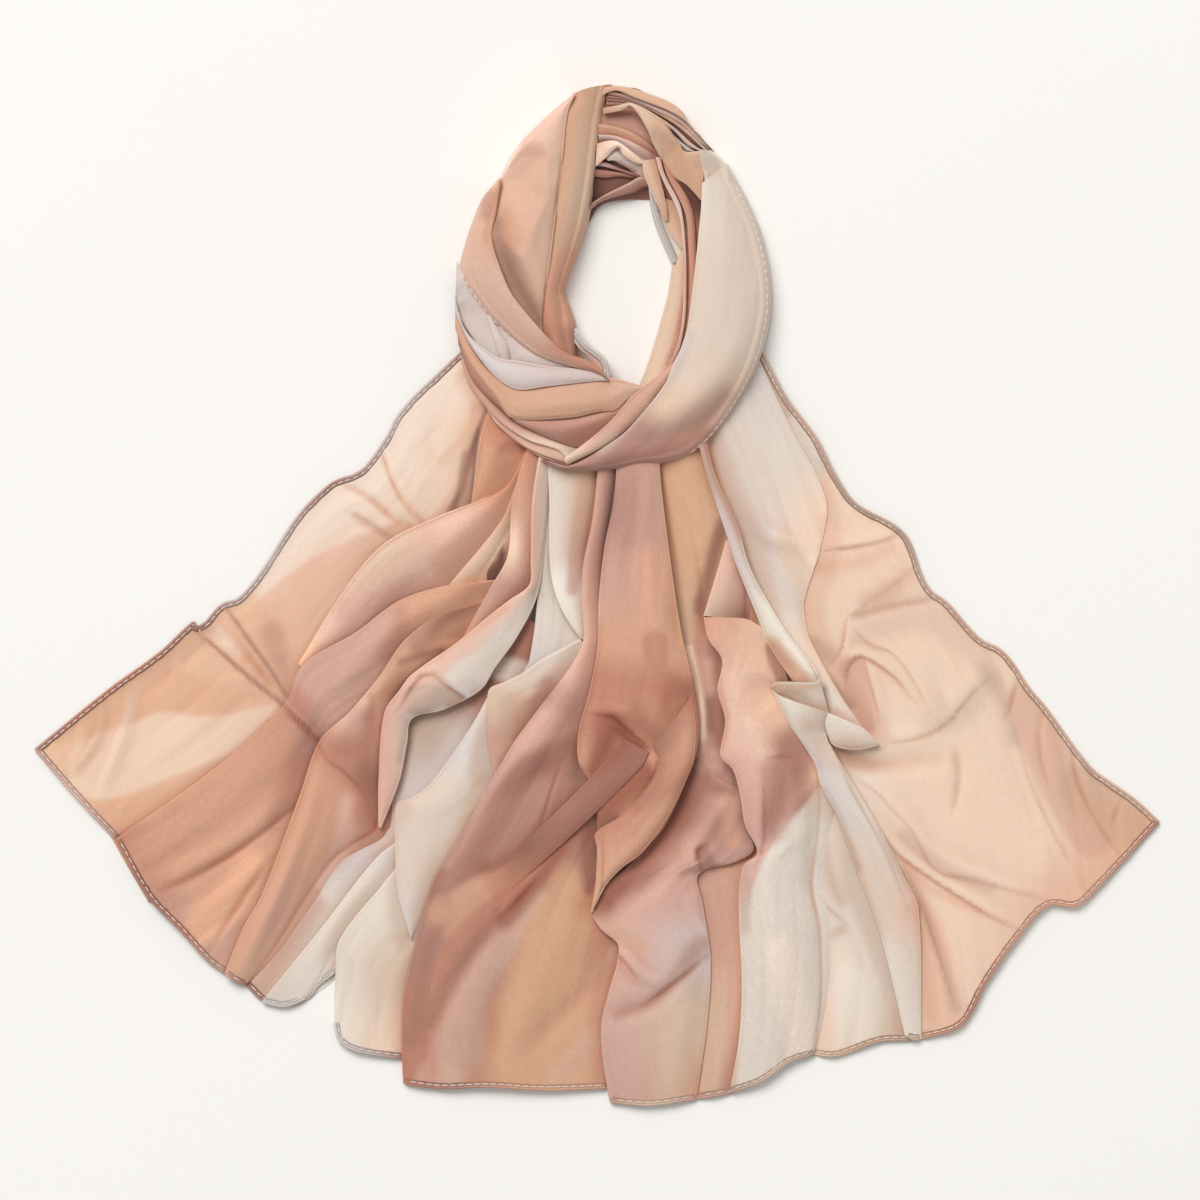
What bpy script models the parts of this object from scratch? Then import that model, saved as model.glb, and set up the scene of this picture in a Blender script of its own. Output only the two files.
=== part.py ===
"""A long chiffon scarf, wound once into a ring and laid on a flat surface, its two ends fanned out.

Every stretch of cloth that shows is a fold: a strip between two edges, with its own height, that
lies over the folds of a lower level. Plan positions and heights are in millimetres. +X is right,
+Y is towards the neck, +Z is up, and the cloth rests on z = 0.
"""

from collections import namedtuple

import bmesh
import bpy
import numpy as np

MM = 0.001  # the tables' unit, in metres

SEAM = 0.4  # clear width across a strip, left between it and the strips it covers
TUCK = 7.0  # how far a strip runs on below the fold that covers its edge
THINNEST = 1.2  # the least wall of a layer
CORE_TOP = 3.0  # top of the hidden layers below the ring
CORE_GAP = 0.3
EDGE_ROUND = 3.0  # width of the rounded rim of a folded edge
EDGE_SHARE = 0.45  # height of a folded edge, as a share of the height beside it
TUCK_DROP = 2.0  # how much lower a tucked edge lies than the visible line

STATION_STEP = 14.0  # plan length between two cross sections of a strip
COLUMN_STEP = 20.0  # plan width between two inner columns of a strip
MOST_COLUMNS = 5
MOST_STATIONS = 28
CUTTER_DEPTH = 20.0
CUTTER_HEIGHT = 120.0
NARROWEST = 1.5  # the least plan width that a cross section is laid out for
PATH_STEPS = 12  # samples between two points of a path
EDGE_SAMPLES = 41  # samples along the plan of a first or last cross section
END_EASE = 3  # how fast the shape of an end fades along the strip
ARCH_POWER = 0.7  # how full the arch between two edges is
CREASE_SAMPLES = 40
CREASE_FADE = 0.08  # share of a crease, at each end, before which it starts to fade
CLOSE = 2e-6  # metres: points nearer than this are one
FACING_DOWN = 0.9999

RING_LEVEL = 40  # strips above this level are wound round the neck and lie on the core

Fold = namedtuple(
    "Fold",
    "name level sides left right left_z right_z crown start end",
    defaults=((), ()),
)
# level: a strip covers those of a lower level. sides: what the left and right edges do: hem and
# lip end on their line, wall falls to the surface, tuck runs on below its neighbour.
# left, right: the plan of the two edges, from the neck to the hem. start, end: the plan of the
# first and last cross section, where it is not straight. left_z, right_z, crown: the height of
# the two edges and of the arch between them, at the neck, half way and at the hem.
FOLDS = (
    Fold(
        "left_flap", level=10, sides="hem tuck",
        left=((-83, 163), (-102, 145), (-128, 121), (-140, 97), (-159, 77), (-194, 52), (-220, 13),
            (-233, -3), (-244, -6), (-258, -19), (-317, -61), (-365, -100)),
        right=((-63, 108), (-77, 82), (-102, 52), (-138, 34), (-164, 4), (-181, -22), (-195, -45),
            (-203, -71), (-248, -112), (-291, -143), (-313, -158)),
        end=((-365, -100), (-339, -130), (-313, -158)),
        left_z=(6, 2, 2), right_z=(9, 4, 2), crown=(3, 3, 2),
    ),
    Fold(
        "left_brown_fold", level=12, sides="lip tuck",
        left=((-45, 100), (-59, 72), (-79, 61), (-102, 52), (-138, 34), (-164, 4), (-181, -22),
            (-194, -44)),
        right=((-32, 101), (-44, 62), (-58, 30), (-88, 5), (-128, -6), (-157, -26), (-191, -48)),
        left_z=(12, 8, 6), right_z=(12, 8, 6), crown=(3, 5, 1),
    ),
    Fold(
        "left_wide_band", level=14, sides="lip tuck",
        left=((-57, 11), (-96, 7), (-128, -3), (-157, -24), (-191, -45), (-203, -71), (-248, -112),
            (-291, -143), (-313, -158)),
        right=((-45, 5), (-76, -11), (-102, -20), (-125, -32), (-141, -54), (-161, -77), (-180, -95),
            (-196, -136), (-216, -185), (-242, -245)),
        end=((-313, -158), (-291, -196), (-271, -217), (-252, -238), (-242, -245)),
        left_z=(12, 9, 3), right_z=(11, 8, 3), crown=(2, 3, 2),
    ),
    Fold(
        "left_peach_roll", level=16, sides="lip tuck",
        left=((-60, 4), (-83, -6), (-102, -12), (-125, -29), (-141, -52), (-161, -76), (-180, -94),
            (-193, -130), (-206, -165), (-218, -195), (-229, -214), (-237, -234), (-242, -245)),
        right=((-47, 2), (-76, -24), (-99, -42), (-125, -61), (-136, -81), (-141, -113), (-144, -150),
            (-161, -162), (-174, -173), (-193, -201), (-209, -227), (-228, -253)),
        end=((-242, -245), (-236, -250), (-228, -253)),
        left_z=(15, 12, 5), right_z=(9, 7, 3), crown=(4, 5, 2),
    ),
    Fold(
        "left_lilac_under", level=11, sides="tuck tuck",
        left=((-53, -3), (-79, -48), (-109, -74), (-125, -107), (-138, -149), (-167, -172),
            (-193, -208), (-209, -234), (-228, -253)),
        right=((-32, -29), (-53, -78), (-83, -120), (-112, -152), (-128, -175), (-144, -201),
            (-164, -229), (-170, -245)),
        end=((-232, -253), (-219, -264), (-203, -267), (-189, -262), (-181, -253), (-170, -245)),
        left_z=(6, 4, 2), right_z=(6, 4, 2), crown=(1, 1, 1),
    ),
    Fold(
        "left_cream_strip", level=13, sides="lip tuck",
        left=((-128, -158), (-144, -171), (-161, -191), (-180, -217), (-200, -242), (-218, -264)),
        right=((-128, -173), (-138, -188), (-154, -208), (-174, -234), (-181, -249), (-189, -262)),
        end=((-218, -264), (-203, -267), (-189, -262)),
        left_z=(6, 5, 3), right_z=(5, 4, 2), crown=(1, 2, 1),
    ),
    Fold(
        "left_cream_panel", level=15, sides="lip tuck",
        left=((-127, -165), (-131, -177), (-148, -198), (-167, -223), (-170, -247), (-171, -276)),
        right=((-96, -172), (-110, -201), (-116, -230), (-123, -256), (-125, -301)),
        end=((-171, -276), (-167, -290), (-154, -297), (-125, -302)),
        left_z=(7, 6, 3), right_z=(6, 4, 2), crown=(2, 3, 2),
    ),
    Fold(
        "ridge_fold", level=24, sides="lip lip",
        left=((-36, 101), (-42, 62), (-43, 23), (-44, 7), (-57, -3), (-70, -13), (-89, -29),
            (-109, -42), (-120, -51), (-128, -61), (-138, -76), (-141, -97), (-142, -123), (-142, -150)),
        right=((-27, 101), (-32, 49), (-35, 20), (-40, -4), (-53, -29), (-66, -47), (-75, -61),
            (-99, -74), (-120, -80), (-123, -95), (-128, -120), (-140, -151)),
        left_z=(18, 17, 8), right_z=(12, 12, 8), crown=(2, 3, 2),
    ),
    Fold(
        "short_rose_fold", level=22, sides="lip tuck",
        left=((-44, 101), (-55, 62), (-58, 26), (-70, 4), (-79, -15), (-88, -29)),
        right=((-34, 101), (-38, 62), (-42, 23), (-45, 4), (-63, -11), (-83, -26)),
        left_z=(14, 12, 8), right_z=(12, 11, 8), crown=(2, 2, 1),
    ),
    Fold(
        "cream_fold", level=20, sides="lip tuck",
        left=((-68, -60), (-83, -87), (-96, -107), (-109, -123), (-120, -131), (-130, -135),
            (-131, -162), (-129, -195), (-121, -222)),
        right=((-62, -68), (-65, -97), (-68, -123), (-83, -152), (-96, -175), (-105, -191),
            (-112, -206), (-120, -223)),
        left_z=(10, 10, 7), right_z=(9, 8, 6), crown=(3, 4, 1),
    ),
    Fold(
        "cream_turn", level=26, sides="lip tuck",
        left=((-11, -28), (-24, -35), (-37, -42), (-48, -50), (-60, -56), (-70, -61), (-71, -78),
            (-71, -97), (-67, -117)),
        right=((-5, -35), (-14, -50), (-29, -71), (-40, -86), (-52, -102), (-63, -119)),
        left_z=(18, 15, 9), right_z=(15, 12, 9), crown=(1, 2, 1),
    ),
    Fold(
        "cream_gore_left", level=23, sides="lip tuck",
        left=((-36, 101), (-38, 49), (-39, -3), (-41, -29), (-44, -42), (-49, -52)),
        right=((-27, 101), (-29, 49), (-27, 4), (-20, -15), (-12, -29)),
        left_z=(14, 12, 9), right_z=(12, 10, 8), crown=(2, 2, 1),
    ),
    Fold(
        "cream_gore_right", level=25, sides="lip tuck",
        left=((-33, 101), (-31, 62), (-31, 26), (-28, 4), (-21, -13), (-11, -28)),
        right=((2, 101), (-2, 62), (-8, 23), (-8, -3), (-7, -29)),
        left_z=(17, 15, 14), right_z=(13, 11, 12), crown=(2, 3, 1),
    ),
    Fold(
        "centre_tail", level=28, sides="lip tuck",
        left=((2, 101), (-1, 75), (-3, 49), (-9, 20), (-10, -3), (-9, -29), (-18, -47), (-34, -68),
            (-57, -100), (-73, -128), (-92, -162), (-107, -188), (-116, -217), (-125, -256),
            (-127, -289), (-126, -317)),
        right=((16, 101), (10, 62), (5, 23), (5, -29), (1, -68), (-3, -107), (6, -152), (6, -198),
            (16, -230), (11, -263), (7, -289), (6, -320)),
        end=((-126, -317), (-102, -320), (-70, -319), (-37, -321), (6, -320)),
        left_z=(18, 14, 3), right_z=(14, 10, 3), crown=(2, 5, 3),
    ),
    Fold(
        "centre_main", level=32, sides="lip lip",
        left=((13, 101), (11, 62), (5, 33), (1, -3), (0, -35), (-6, -65), (-12, -87), (-12, -108),
            (-3, -126), (0, -154), (1, -172), (-2, -191), (-4, -205)),
        right=((40, 101), (42, 69), (47, 30), (54, -19), (60, -48), (65, -68), (66, -91), (62, -110),
            (54, -130), (44, -149), (28, -167), (11, -181), (3, -191), (-3, -206)),
        left_z=(19, 17, 12), right_z=(17, 18, 12), crown=(3, 5, 2),
    ),
    Fold(
        "tan_strip", level=29, sides="tuck tuck",
        left=((38, 101), (44, 62), (51, 23), (59, -29), (66, -61), (67, -87), (63, -110)),
        right=((70, 101), (81, 65), (93, 36), (98, 4), (101, -19), (93, -42), (86, -61), (85, -87),
            (85, -107), (81, -124)),
        end=((63, -109), (70, -119), (81, -124)),
        left_z=(12, 9, 7), right_z=(9, 6, 5), crown=(5, 3, 2),
    ),
    Fold(
        "peach_triangle", level=31, sides="lip tuck",
        left=((84, 37), (77, 13), (69, -13)),
        right=((92, 23), (96, 4), (96, -17)),
        left_z=(11, 11, 11), right_z=(9, 7, 6), crown=(1, 2, 1),
    ),
    Fold(
        "peach_step", level=34, sides="lip tuck",
        left=((69, -14), (72, -28), (81, -42), (78, -61), (83, -81), (80, -104), (88, -113),
            (93, -131), (96, -149), (104, -167), (95, -175), (92, -198), (92, -224), (94, -253),
            (92, -289), (86, -323)),
        right=((106, -20), (109, -39), (114, -60), (127, -86), (141, -111), (144, -133), (142, -162),
            (139, -188), (144, -217), (145, -263), (141, -298)),
        start=((69, -14), (83, -14), (96, -15), (106, -20)),
        end=((86, -323), (106, -316), (125, -303), (141, -298)),
        left_z=(17, 14, 3), right_z=(15, 10, 3), crown=(3, 5, 3),
    ),
    Fold(
        "lilac_panel", level=30, sides="lip lip",
        left=((63, -106), (54, -130), (28, -167), (3, -191), (-4, -204), (2, -216), (14, -228),
            (8, -256), (3, -276), (3, -295), (8, -329)),
        right=((81, -121), (92, -126), (97, -149), (102, -165), (90, -173), (66, -181), (69, -201),
            (74, -237), (72, -276), (65, -327)),
        end=((8, -329), (34, -331), (65, -327)),
        left_z=(8, 12, 3), right_z=(10, 9, 3), crown=(3, 4, 2),
    ),
    Fold(
        "rose_strip", level=27, sides="tuck tuck",
        left=((60, -165), (65, -185), (70, -217), (74, -240), (71, -282), (65, -327)),
        right=((109, -158), (101, -178), (96, -217), (98, -253), (94, -289), (88, -323)),
        start=((60, -165), (80, -159), (109, -158)),
        end=((65, -327), (77, -325), (88, -323)),
        left_z=(5, 4, 2), right_z=(5, 4, 2), crown=(1, 1, 1),
    ),
    Fold(
        "right_flap", level=10, sides="tuck hem",
        left=((75, 101), (90, 43), (109, -3), (129, -47), (142, -68), (151, -91), (163, -117),
            (176, -143), (194, -178), (207, -214), (211, -288)),
        right=((105, 163), (122, 130), (142, 103), (155, 78), (168, 60), (187, 49), (205, 33),
            (211, 13), (226, -7), (252, -29), (275, -47), (291, -71), (311, -97), (333, -120),
            (365, -147)),
        end=((211, -288), (237, -279), (252, -253), (272, -224), (293, -201), (311, -202), (327, -188),
            (365, -147)),
        left_z=(9, 5, 3), right_z=(6, 2, 2), crown=(3, 4, 2),
    ),
    Fold(
        "right_cream_layer", level=13, sides="tuck lip",
        left=((65, 108), (83, 56), (96, 10), (123, -26), (144, -54)),
        right=((101, 163), (125, 111), (149, 62), (145, 30), (135, -3), (138, -29), (151, -53),
            (166, -72)),
        left_z=(10, 9, 8), right_z=(6, 6, 8), crown=(2, 2, 1),
    ),
    Fold(
        "right_roll", level=36, sides="lip lip",
        left=((65, 101), (72, 75), (84, 39), (92, 17), (99, -2), (116, -35), (130, -56)),
        right=((71, 101), (77, 78), (92, 43), (104, 9), (116, -6), (129, -26), (144, -51)),
        left_z=(16, 14, 12), right_z=(14, 12, 11), crown=(2, 3, 4),
    ),
    Fold(
        "right_cream_long", level=35, sides="lip lip",
        left=((112, -59), (119, -71), (132, -97), (142, -112), (146, -126), (157, -146), (166, -172),
            (183, -217), (202, -282)),
        right=((146, -52), (149, -68), (149, -91), (153, -98), (161, -113), (171, -130), (184, -156),
            (200, -188), (209, -214), (211, -288)),
        start=((112, -59), (122, -56), (135, -56), (146, -52)),
        end=((199, -287), (205, -289), (211, -288)),
        left_z=(13, 9, 3), right_z=(11, 10, 3), crown=(2, 3, 1),
    ),
    Fold(
        "right_leaf", level=37, sides="lip lip",
        left=((144, -74), (154, -78), (168, -87), (183, -94)),
        right=((146, -85), (150, -95), (164, -100), (183, -96)),
        left_z=(13, 12, 9), right_z=(12, 10, 8), crown=(1, 2, 1),
    ),
    Fold(
        "right_cream_under", level=26, sides="tuck tuck",
        left=((138, -104), (140, -159), (136, -188), (140, -217), (141, -263), (140, -298)),
        right=((150, -110), (161, -141), (172, -172), (189, -217), (200, -253), (205, -289)),
        end=((140, -298), (155, -299), (184, -289), (205, -288)),
        left_z=(6, 4, 2), right_z=(6, 4, 2), crown=(1, 2, 1),
    ),
    Fold(
        "neck_outer_layer", level=44, sides="wall tuck",
        left=((-1, 329), (10, 331), (28, 328), (44, 323), (56, 314), (67, 297), (77, 286)),
        right=((2, 322), (10, 325), (28, 318), (44, 312), (60, 302), (70, 291), (75, 284)),
        left_z=(9, 9, 9), right_z=(17, 17, 17), crown=(4, 4, 3),
    ),
    Fold(
        "neck_thin_layers", level=43, sides="tuck tuck",
        left=((2, 326), (10, 327), (28, 321), (44, 314), (60, 305), (77, 288)),
        right=((2, 314), (22, 316), (38, 309), (49, 300), (56, 286), (79, 280)),
        left_z=(15, 15, 15), right_z=(13, 13, 14), crown=(1, 1, 1),
    ),
    Fold(
        "collar_fold", level=50, sides="lip lip",
        left=((2, 316), (22, 318), (34, 313), (44, 308), (53, 297), (57, 288), (70, 288), (77, 286),
            (86, 279)),
        right=((2, 312), (22, 316), (34, 303), (40, 286), (49, 271), (60, 262), (70, 256)),
        left_z=(20, 22, 22), right_z=(19, 21, 24), crown=(1, 3, 2),
    ),
    Fold(
        "neck_mauve_layer", level=41, sides="tuck tuck",
        left=((1, 314), (22, 318), (34, 305), (42, 283)),
        right=((1, 301), (15, 299), (31, 290), (38, 282)),
        left_z=(12, 12, 12), right_z=(10, 10, 10), crown=(0, 0, 0),
    ),
    Fold(
        "neck_orange_layer", level=45, sides="lip tuck",
        left=((1, 305), (18, 303), (32, 295), (44, 283)),
        right=((1, 294), (18, 294), (31, 287), (41, 278)),
        left_z=(15, 16, 16), right_z=(13, 13, 13), crown=(1, 1, 1),
    ),
    Fold(
        "neck_peach_lobe", level=46, sides="lip lip",
        left=((1, 295), (10, 296), (18, 294), (29, 288), (41, 282)),
        right=((1, 280), (7, 284), (14, 291), (20, 285), (28, 281), (40, 282)),
        left_z=(16, 17, 17), right_z=(13, 13, 14), crown=(1, 2, 1),
    ),
    Fold(
        "neck_grey_layer", level=42, sides="tuck tuck",
        left=((-1, 286), (14, 292), (25, 284), (34, 280)),
        right=((-3, 253), (6, 266), (21, 270), (36, 269)),
        left_z=(10, 10, 11), right_z=(8, 8, 8), crown=(1, 1, 1),
    ),
    Fold(
        "neck_low_band", level=47, sides="lip wall",
        left=((-5, 254), (6, 262), (20, 268), (34, 271)),
        right=((-5, 249), (7, 257), (21, 260), (36, 265)),
        left_z=(11, 11, 12), right_z=(9, 9, 9), crown=(0, 1, 0),
    ),
    Fold(
        "inner_hem_edge", level=48, sides="wall tuck",
        left=((34, 265), (36, 252), (38, 239), (44, 226), (49, 215)),
        right=((41, 265), (46, 251), (54, 236), (57, 223)),
        left_z=(8, 8, 8), right_z=(9, 10, 10), crown=(0, 1, 0),
    ),
    Fold(
        "inner_tan_strand", level=51, sides="lip lip",
        left=((31, 283), (33, 270), (37, 256), (45, 241), (55, 228)),
        right=((40, 283), (43, 269), (48, 254), (53, 240), (57, 227)),
        left_z=(14, 14, 13), right_z=(15, 15, 14), crown=(1, 2, 1),
    ),
    Fold(
        "inner_rose_strand", level=49, sides="wall tuck",
        left=((34, 282), (40, 267), (46, 249), (54, 231), (49, 214), (46, 195), (41, 176), (34, 153),
            (27, 135)),
        right=((46, 278), (60, 260), (70, 244), (67, 205), (64, 179), (57, 156), (44, 137), (28, 126)),
        left_z=(10, 9, 10), right_z=(19, 20, 20), crown=(2, 3, 3),
    ),
    Fold(
        "left_drop_inner", level=52, sides="tuck wall",
        left=((-16, 325), (-21, 303), (-24, 270), (-31, 225), (-36, 169), (-32, 152)),
        right=((10, 331), (5, 309), (2, 280), (-1, 254), (-10, 226), (-21, 198), (-16, 186),
            (-13, 171), (-12, 153)),
        start=((-16, 325), (-5, 328), (10, 331)),
        left_z=(20, 21, 17), right_z=(10, 10, 12), crown=(4, 5, 3),
    ),
    Fold(
        "left_drop_outer", level=54, sides="wall lip",
        left=((-16, 325), (-34, 310), (-53, 290), (-62, 271), (-64, 249), (-68, 231), (-63, 212),
            (-55, 197), (-45, 179), (-32, 161)),
        right=((-14, 325), (-19, 312), (-22, 283), (-29, 225), (-34, 186), (-34, 163)),
        left_z=(10, 10, 16), right_z=(22, 25, 20), crown=(4, 7, 3),
    ),
    Fold(
        "left_outer_wrap", level=58, sides="wall lip",
        left=((-64, 271), (-76, 255), (-84, 234), (-90, 212), (-88, 204), (-81, 194), (-66, 176),
            (-47, 160), (-21, 148), (-5, 145), (8, 139)),
        right=((-62, 269), (-65, 249), (-68, 232), (-62, 215), (-53, 197), (-35, 169), (-24, 160),
            (-12, 154), (1, 149), (8, 140)),
        left_z=(9, 14, 24), right_z=(18, 27, 25), crown=(3, 4, 2),
    ),
    Fold(
        "lilac_upper", level=55, sides="tuck tuck",
        left=((-90, 210), (-79, 199), (-63, 178), (-44, 163), (-18, 152), (2, 148)),
        right=((-91, 184), (-84, 171), (-73, 158), (-55, 149), (-34, 145), (2, 143)),
        left_z=(9, 15, 20), right_z=(9, 17, 20), crown=(2, 2, 1),
    ),
    Fold(
        "lilac_lower", level=57, sides="lip lip",
        left=((-91, 187), (-86, 174), (-77, 165), (-68, 157), (-55, 154), (-40, 151), (-14, 146),
            (8, 141)),
        right=((-92, 180), (-84, 165), (-73, 149), (-61, 137), (-50, 132), (-34, 135), (-11, 137),
            (8, 139)),
        left_z=(9, 19, 22), right_z=(8, 19, 21), crown=(1, 3, 1),
    ),
    Fold(
        "wrap_fold_upper", level=56, sides="tuck lip",
        left=((-92, 183), (-83, 167), (-70, 150), (-50, 137), (-24, 140), (8, 143), (28, 136)),
        right=((-91, 169), (-85, 152), (-76, 137), (-63, 124), (-52, 115), (-18, 114), (12, 120),
            (34, 132)),
        left_z=(8, 19, 18), right_z=(8, 23, 22), crown=(1, 4, 2),
    ),
    Fold(
        "wrap_fold_middle", level=53, sides="tuck lip",
        left=((-91, 173), (-83, 150), (-70, 132), (-52, 119), (-18, 119), (10, 126), (33, 136)),
        right=((-88, 160), (-81, 137), (-68, 122), (-49, 108), (-32, 101), (-14, 95), (-5, 98),
            (15, 114), (33, 130)),
        left_z=(8, 19, 19), right_z=(8, 23, 22), crown=(1, 3, 2),
    ),
    Fold(
        "wrap_fold_lower", level=52, sides="tuck lip",
        left=((-87, 152), (-77, 137), (-63, 122), (-44, 109), (-14, 101), (2, 108), (33, 136)),
        right=((-84, 144), (-71, 122), (-55, 105), (-37, 95), (-20, 88), (-5, 95), (21, 120), (41, 139)),
        left_z=(8, 16, 21), right_z=(8, 20, 22), crown=(1, 2, 1),
    ),
    Fold(
        "wrap_fold_last", level=50, sides="tuck wall",
        left=((-84, 144), (-70, 124), (-44, 102), (-20, 93), (2, 102), (34, 130)),
        right=((-82, 140), (-71, 122), (-60, 106), (-44, 91), (-32, 85), (-16, 84), (5, 93), (38, 127)),
        left_z=(8, 16, 20), right_z=(8, 17, 20), crown=(1, 1, 1),
    ),
    Fold(
        "right_band", level=60, sides="lip wall",
        left=((68, 267), (67, 247), (63, 212), (59, 176), (54, 159), (48, 148), (34, 125), (21, 111),
            (4, 95), (-14, 84), (-32, 86), (-40, 90)),
        right=((85, 280), (99, 254), (108, 231), (113, 205), (113, 182), (105, 150), (92, 124),
            (75, 101), (60, 89), (41, 84), (2, 80), (-24, 82), (-37, 88)),
        start=((68, 267), (77, 271), (85, 280)),
        left_z=(24, 27, 20), right_z=(10, 15, 20), crown=(4, 7, 2),
    ),
    Fold(
        "opening_flap", level=49, sides="wall tuck",
        left=((-15, 171), (-5, 162), (4, 156), (8, 148), (9, 139)),
        right=((-23, 158), (-11, 150), (-1, 144), (6, 137)),
        left_z=(7, 7, 9), right_z=(9, 9, 9), crown=(0, 1, 0),
    ),
)

Crease = namedtuple("Crease", "name folds path half_width height")
# A soft ridge, or a trough where height is negative, on the named folds.
CREASES = (
    Crease("flap_pull_upper", "left_flap", ((-239, -10), (-220, -38), (-203, -70)), 7, 4),
    Crease("flap_pull_lower", "left_flap", ((-262, -21), (-230, -48), (-204, -70)), 7, 4),
    Crease("flap_soft_upper", "left_flap", ((-140, 100), (-124, 64), (-112, 45)), 9, 3),
    Crease("flap_soft_middle", "left_flap", ((-172, 70), (-148, 55), (-132, 38)), 9, 3),
    Crease("band_pull", "left_wide_band", ((-203, -72), (-192, -82), (-181, -94)), 6, 4),
    Crease("band_soft", "left_wide_band", ((-190, -110), (-235, -158), (-285, -186)), 14, 3),
    Crease(
        "tail_roll", "centre_tail", ((34, -93), (12, -108), (-20, -145), (-50, -180), (-84, -228)), 14, 6
    ),
    Crease("main_swirl", "centre_main", ((4, -75), (20, -84), (34, -97), (38, -118), (12, -152)), 10, -4),
    Crease("step_blotch", "peach_step", ((120, -95), (128, -130), (112, -165)), 12, -3),
    Crease("flap_arc", "right_flap", ((102, 58), (126, 33), (160, 31), (196, 42)), 9, 3),
    Crease("flap_notch", "right_flap", ((163, -15), (190, 0), (220, -1)), 9, 4),
    Crease("horseshoe_left", "right_flap", ((161, -58), (162, -45), (172, -39), (187, -48)), 7, 3),
    Crease("leaf_ridge", "right_flap", ((185, -96), (218, -82), (255, -50)), 9, 4),
    Crease("long_crease", "right_flap", ((187, -157), (220, -182), (265, -202), (300, -195)), 8, 4),
    Crease("corner_soft", "right_flap", ((306, -94), (318, -140), (338, -168)), 9, 3),
)

# The hidden layers of the ring share one core: its rim follows the ring, drawn in.
CORE_OUTER = (
    (10, 322), (47, 306), (77, 280), (99, 241), (106, 192), (96, 150), (70, 108), (34, 91),
    (-11, 88), (-50, 108), (-79, 150), (-83, 199), (-70, 244), (-50, 283), (-21, 312),
)  # fmt: skip
CORE_INNER = (
    (16, 269), (37, 270), (44, 247), (55, 218), (51, 186), (41, 153), (28, 131),
    (5, 134), (-5, 150), (-20, 169), (-27, 199), (-17, 225), (-8, 254),
)  # fmt: skip
CORE_COUNT = 36
CORE_PROFILE = ((0.0, 0.5), (0.06, 1.0), (0.5, 1.0), (0.94, 1.0), (1.0, 0.5))  # (across, height) shares
FLAT_ANGLE = 0.002  # faces that bend less than this, in radians, are one
SHARP_ANGLE = 0.7  # edges that bend more than this, in radians, show as creases

Dye = namedtuple("Dye", "name red green blue")
DYES = {
    dye.name: (dye.red, dye.green, dye.blue, 1.0)
    for dye in (
        Dye("cream", 0.70, 0.62, 0.55),
        Dye("peach", 0.78, 0.50, 0.36),
        Dye("rose", 0.58, 0.32, 0.25),
        Dye("terracotta", 0.50, 0.24, 0.16),
        Dye("lilac", 0.60, 0.48, 0.46),
        Dye("tan", 0.62, 0.38, 0.25),
    )
}
FOLD_DYES = (
    ("cream", "cream neck_thin neck_grey right_roll right_leaf right_cream right_band"),
    ("lilac", "lilac left_lilac rose_strip"),
    ("terracotta", "left_outer_wrap centre_main neck_mauve left_wide"),
    ("tan", "tan neck_outer wrap_fold left_drop_inner neck_orange neck_low inner_tan"),
    ("rose", "left_brown centre_tail short_rose inner_rose"),
    ("peach", ""),
)
ROUGHNESS = 0.75


def smooth_path(points, count):
    """count points, evenly spaced along a Catmull-Rom curve through the given ones."""
    knots = np.array(points, float)
    before = 2 * knots[0] - knots[1]
    after = 2 * knots[-1] - knots[-2]
    knots = np.vstack([before, knots, after])
    fine = []
    steps = np.linspace(0, 1, PATH_STEPS, endpoint=False)[:, None]
    for p0, p1, p2, p3 in zip(knots, knots[1:], knots[2:], knots[3:]):
        reach = np.linalg.norm(p2 - p1)
        slope_1 = (p2 - p0) * reach / max(np.linalg.norm(p1 - p0) + reach, 1e-6)
        slope_2 = (p3 - p1) * reach / max(np.linalg.norm(p3 - p2) + reach, 1e-6)
        a = 2 * steps**3 - 3 * steps**2 + 1
        b = steps**3 - 2 * steps**2 + steps
        c = -2 * steps**3 + 3 * steps**2
        d = steps**3 - steps**2
        fine.append(a * p1 + b * slope_1 + c * p2 + d * slope_2)
    fine.append(knots[-2][None])
    fine = np.vstack(fine)
    along = np.concatenate([[0], np.cumsum(np.linalg.norm(np.diff(fine, axis=0), axis=1))])
    wanted = np.linspace(0, along[-1], count)
    return np.stack([np.interp(wanted, along, fine[:, k]) for k in (0, 1)], axis=1)


def path_length(points):
    return float(np.linalg.norm(np.diff(np.array(points, float), axis=0), axis=1).sum())


def three_way(values, t):
    """The value at t of a smooth curve through those at 0, one half and 1."""
    first, middle, last = values
    return first * (1 - t) * (1 - 2 * t) + 4 * middle * t * (1 - t) + last * t * (2 * t - 1)


def strip_plan(fold, stations, across):
    """Plan positions at each station and each share across, in the patch of the four edges."""
    t = np.linspace(0, 1, stations)
    left = smooth_path(fold.left, stations)
    right = smooth_path(fold.right, stations)
    plan = left[:, None] * (1 - across[:, :, None]) + right[:, None] * across[:, :, None]
    for edge, weight in ((fold.start, 1 - t), (fold.end, t)):
        if not edge:
            continue
        curve = smooth_path(edge, EDGE_SAMPLES)
        corners = curve[0], curve[-1]
        shares = np.linspace(0, 1, EDGE_SAMPLES)
        straight = corners[0] + np.outer(shares, corners[1] - corners[0])
        bulge = curve - straight
        inside = across.clip(0, 1)
        added = np.stack([np.interp(inside, shares, bulge[:, k]) for k in (0, 1)], axis=-1)
        plan = plan + added * (weight**END_EASE)[:, None, None]
    return plan


def distance_to(plan, path):
    """The distance from each plan position to a path, and how far along the path it is."""
    points = smooth_path(path, CREASE_SAMPLES)
    offset = plan[..., None, :] - points
    far = np.linalg.norm(offset, axis=-1)
    return far.min(axis=-1), far.argmin(axis=-1) / (CREASE_SAMPLES - 1)


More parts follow.
